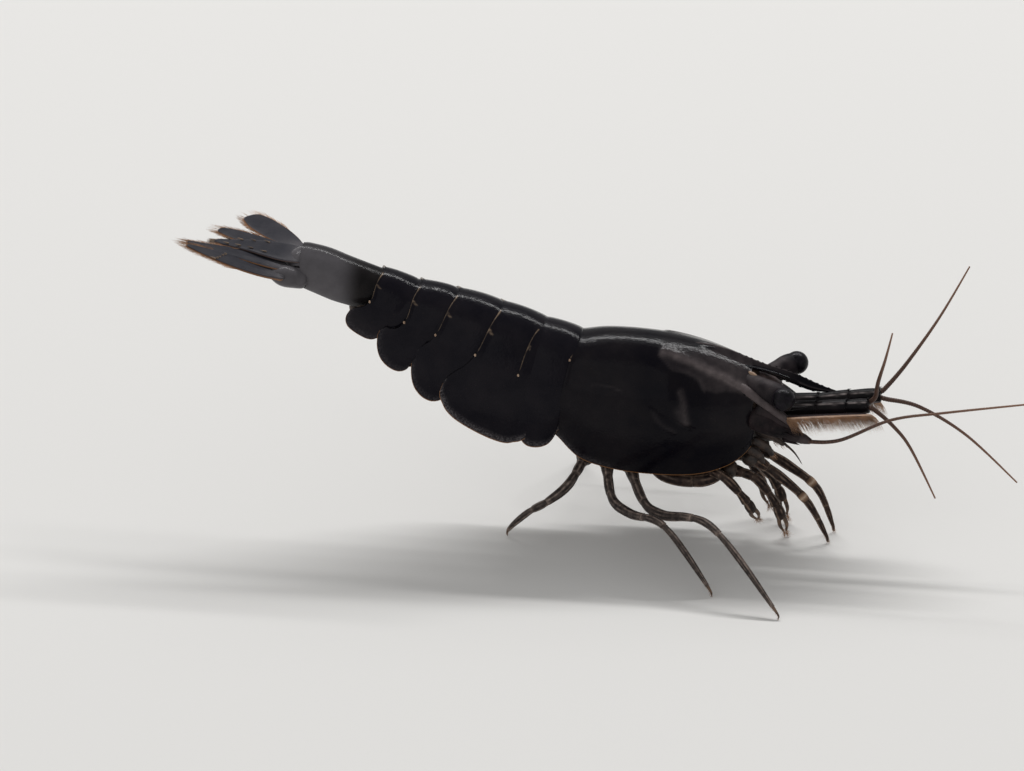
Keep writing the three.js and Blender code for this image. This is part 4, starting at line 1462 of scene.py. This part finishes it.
def make_walking_legs(hairs):
    for name, line in WALKING_LEGS.items():
        spots = even(line, 200)
        knee = 0.5 if name.startswith("leg_5") else 0.47
        parts = limb_parts(
            spots,
            (0.0, 0.09, [0.26, 0.24, 0.18]),
            (0.085, 0.19, [0.18, 0.19, 0.17]),
            (0.185, knee, [0.16, 0.19, 0.18, 0.15], 30),
            (knee - 0.005, knee + 0.13, [0.13, 0.155, 0.14]),
            (knee + 0.125, 0.94, [0.115, 0.13, 0.115, 0.08], 34),
        )
        settle(join(name, parts), "limb_shell", WALKER, name)
        claw = limb_part(f"{name}_claw", spots, 0.935, 1.0, [0.07, 0.055, 0.035, 0.008], sides=12, rings=14)
        settle(claw, "limb_shell", CLAW)
        spinules(hairs, spots, 0.22, knee, 5, 0.16, 0.018, spread=0.2)
        spinules(hairs, spots, knee + 0.14, 0.93, 14, 0.13, 0.012, (-0.4, 0, -1), 0.2)
        spinules(hairs, spots, 0.9, 0.985, 12, 0.09, 0.01, (-0.4, 0, -1), 0.7)
        spinules(hairs, spots, 0.2, 0.93, 26, 0.14, 0.005, (0.3, 0, 1), 0.9)


def make_leg_bases():
    """The stout first parts of the clawed legs, which lie forward along the belly."""
    for side in SIDES:
        line = on_side(
            side, (3.5, 0.8, 2.85), (4.1, 1.0, 2.56), (4.9, 1.1, 2.46), (5.7, 1.04, 2.53), (6.4, 0.8, 2.8)
        )
        parts = limb_parts(
            even(line, 60),
            (0.0, 0.6, [0.18, 0.25, 0.26, 0.25]),
            (0.56, 1.0, [0.24, 0.26, 0.22, 0.14]),
        )
        settle(join(f"leg_bases_{side}", parts), "limb_shell", LIMB)


# ---- Swimmerets ----
# The share of the body's width between the side lobes that the swimmerets fill.
CHANNEL = 0.57


def channel_point(index, t, across, height):
    """A point between the side lobes of a plate."""

    def between(key):
        return mix(PLATE_JOINTS[key][index], PLATE_JOINTS[key][index + 1], t)

    lobe = SIDE_LOBES[index] * math.sin(math.pi * t) ** 0.6
    top = Vector((between("top_x"), between("top_z")))
    low = Vector((between("low_x") - LOBE_DRIFT * lobe, between("low_z") - lobe))
    place = low.lerp(top, height)
    return Vector((place.x, across * between("width"), place.y))


def make_swimmeret(hairs, index, side):
    """A short stalk that carries two fringed leaves, folded back under the body."""
    name = f"swimmeret_{index + 1}_{side}"
    room = CHANNEL * 0.5 * PLATE_JOINTS["width"][index + 1]
    middle = SIDES[side] * CHANNEL * 0.5
    heights = ((0.93, 0.34), (0.9, 0.24), (0.8, 0.15))
    stalk = [channel_point(index, t, middle, height) for t, height in heights]
    parts = [rod("swimmeret_stalk", stalk, [0.2, 0.24, 0.2], side=(0, 1, 0), sides=18)]
    ribs = [(0, 0.035, 0.14), (0.5, 0.02, 0.1), (-0.5, 0.02, 0.1)]
    widths = [room * share * 0.6 for share in (0.5, 0.95, 1.0, 0.85, 0.4)]
    for aside, drop, first in ((0.34, 0.09, 0.84), (-0.3, 0.15, 0.86)):
        offset = Vector((0, SIDES[side] * aside * room, 0))
        line = []
        for k in range(5):
            height = drop + 0.03 * math.sin(math.pi * k / 4)
            line.append(channel_point(index, mix(first, 0.06, k / 4), middle, height) + offset)
        leaf = (line, (0, 1, 0), widths, widths)
        parts.append(blade("swimmeret_leaf", *leaf, 0.09, rings=30, sides=20, ribs=ribs))
        fringe(hairs, *leaf, 26, 0.28, 0.008, 0.3)
    settle(join(name, parts), "limb_shell", SWIM, name)


# ---- Putting it together ----
tail_hairs, head_hairs, mouth_hairs, claw_hairs, leg_hairs, swim_hairs = (Bristles() for _ in range(6))
make_carapace()
make_thorax()
for index in range(PLATES):
    make_plate(index)
make_hinges()
make_abdomen_core()
make_sixth()
make_telson(tail_hairs)
for name in FINS:
    make_fin(tail_hairs, name)
make_fin_bases()
make_eyes()
make_feelers(head_hairs)
for side in SIDES:
    make_feeler_base(side)
for side in SIDES:
    make_scale(head_hairs, side)
make_mouthparts(mouth_hairs)
make_feeding_legs(claw_hairs)
make_clawed_legs(claw_hairs)
make_walking_legs(leg_hairs)
make_leg_bases()
for index in range(PLATES):
    for side in SIDES:
        make_swimmeret(swim_hairs, index, side)
for name, hairs, slot in (
    ("tail_fan_bristles", tail_hairs, "tail_shell"),
    ("feeler_bristles", head_hairs, "feeler_shell"),
    ("mouth_bristles", mouth_hairs, "limb_shell"),
    ("claw_bristles", claw_hairs, "limb_shell"),
    ("leg_bristles", leg_hairs, "limb_shell"),
    ("swimmeret_bristles", swim_hairs, "limb_shell"),
):
    settle(hairs.make(name), slot, BRISTLE)


# ---- Floor, light and camera ----
FLOOR_SIZE = 4
FLOOR_COLOR = (0.74, 0.73, 0.71)
BACKDROP = (0.86, 0.86, 0.85)
AMBIENT_LIGHT = 0.38
# The camera looks down on the right side, from a little ahead. AIM_RIGHT and AIM_UP are how far across and
# up the picture it aims from the animal's own zero. These lengths are in millimetres.
VIEW_TURN, VIEW_RISE = math.radians(8), math.radians(27)
LENS, SENSOR = 250, 36
FRAME_WIDTH = 38.79
AIM_RIGHT, AIM_UP = -1.82, 4.94
# Where the lamps point. Their own places, sizes and powers are in metres and watts.
LIT_SPOT = ORIGIN + Vector((2, 0, 5)) * MM


def make_floor():
    material = bpy.data.materials.new("pale_floor")
    material.use_nodes = True
    shader = material.node_tree.nodes["Principled BSDF"]
    shader.inputs["Base Color"].default_value = (*FLOOR_COLOR, 1)
    shader.inputs["Roughness"].default_value = 0.85
    deselect()
    bpy.ops.mesh.primitive_plane_add(size=FLOOR_SIZE, location=(0, 0, 0))
    floor = bpy.context.object
    floor.name = "floor"
    floor.data.materials.append(material)


def make_camera():
    side, ahead = math.cos(VIEW_TURN), math.sin(VIEW_TURN)
    level, rise = math.cos(VIEW_RISE), math.sin(VIEW_RISE)
    outward = Vector((ahead * level, -side * level, rise))
    rightward = Vector((side, ahead, 0))
    upward = outward.cross(rightward)
    aim = ORIGIN + (rightward * AIM_RIGHT + upward * AIM_UP) * MM
    bpy.ops.object.camera_add(location=aim + outward * (LENS / SENSOR * FRAME_WIDTH * MM))
    camera = bpy.context.object
    camera.data.lens = LENS
    camera.data.sensor_width = SENSOR
    camera.data.clip_start = 0.001
    camera.data.clip_end = 10
    camera.rotation_euler = outward.to_track_quat("Z", "Y").to_euler()
    bpy.context.scene.camera = camera


def lamp(name, place, length, width, power):
    """A plain rectangular lamp that faces the model."""
    bpy.ops.object.light_add(type="AREA", location=Vector(place) + LIT_SPOT)
    light = bpy.context.object
    light.name = name
    light.data.shape = "RECTANGLE"
    light.data.size = length
    light.data.size_y = width
    light.data.energy = power
    light.rotation_euler = Vector(place).to_track_quat("Z", "Y").to_euler()


def make_world():
    """Even light from all round, with a plain pale backdrop where the camera sees past the floor."""
    world = bpy.context.scene.world or bpy.data.worlds.new("studio")
    bpy.context.scene.world = world
    world.use_nodes = True
    nodes, links = world.node_tree.nodes, world.node_tree.links
    nodes.clear()
    path = nodes.new("ShaderNodeLightPath")
    seen = nodes.new("ShaderNodeBackground")
    seen.inputs["Color"].default_value = (*BACKDROP, 1)
    ambient = nodes.new("ShaderNodeBackground")
    ambient.inputs["Color"].default_value = (1, 1, 1, 1)
    ambient.inputs["Strength"].default_value = AMBIENT_LIGHT
    choice = nodes.new("ShaderNodeMixShader")
    links.new(path.outputs["Is Camera Ray"], choice.inputs[0])
    links.new(ambient.outputs[0], choice.inputs[1])
    links.new(seen.outputs[0], choice.inputs[2])
    links.new(choice.outputs[0], nodes.new("ShaderNodeOutputWorld").inputs["Surface"])


make_floor()
make_camera()
lamp("key_lamp", (-0.05, 0.3, 0.42), 0.4, 0.3, 0.3)
lamp("strip_lamp", (0.0, 0.3, 0.42), 0.7, 0.02, 2.0)
lamp("fill_lamp", (-0.3, -0.5, 0.3), 0.9, 0.9, 1.1)
make_world()

bpy.context.scene.view_settings.view_transform = "Standard"
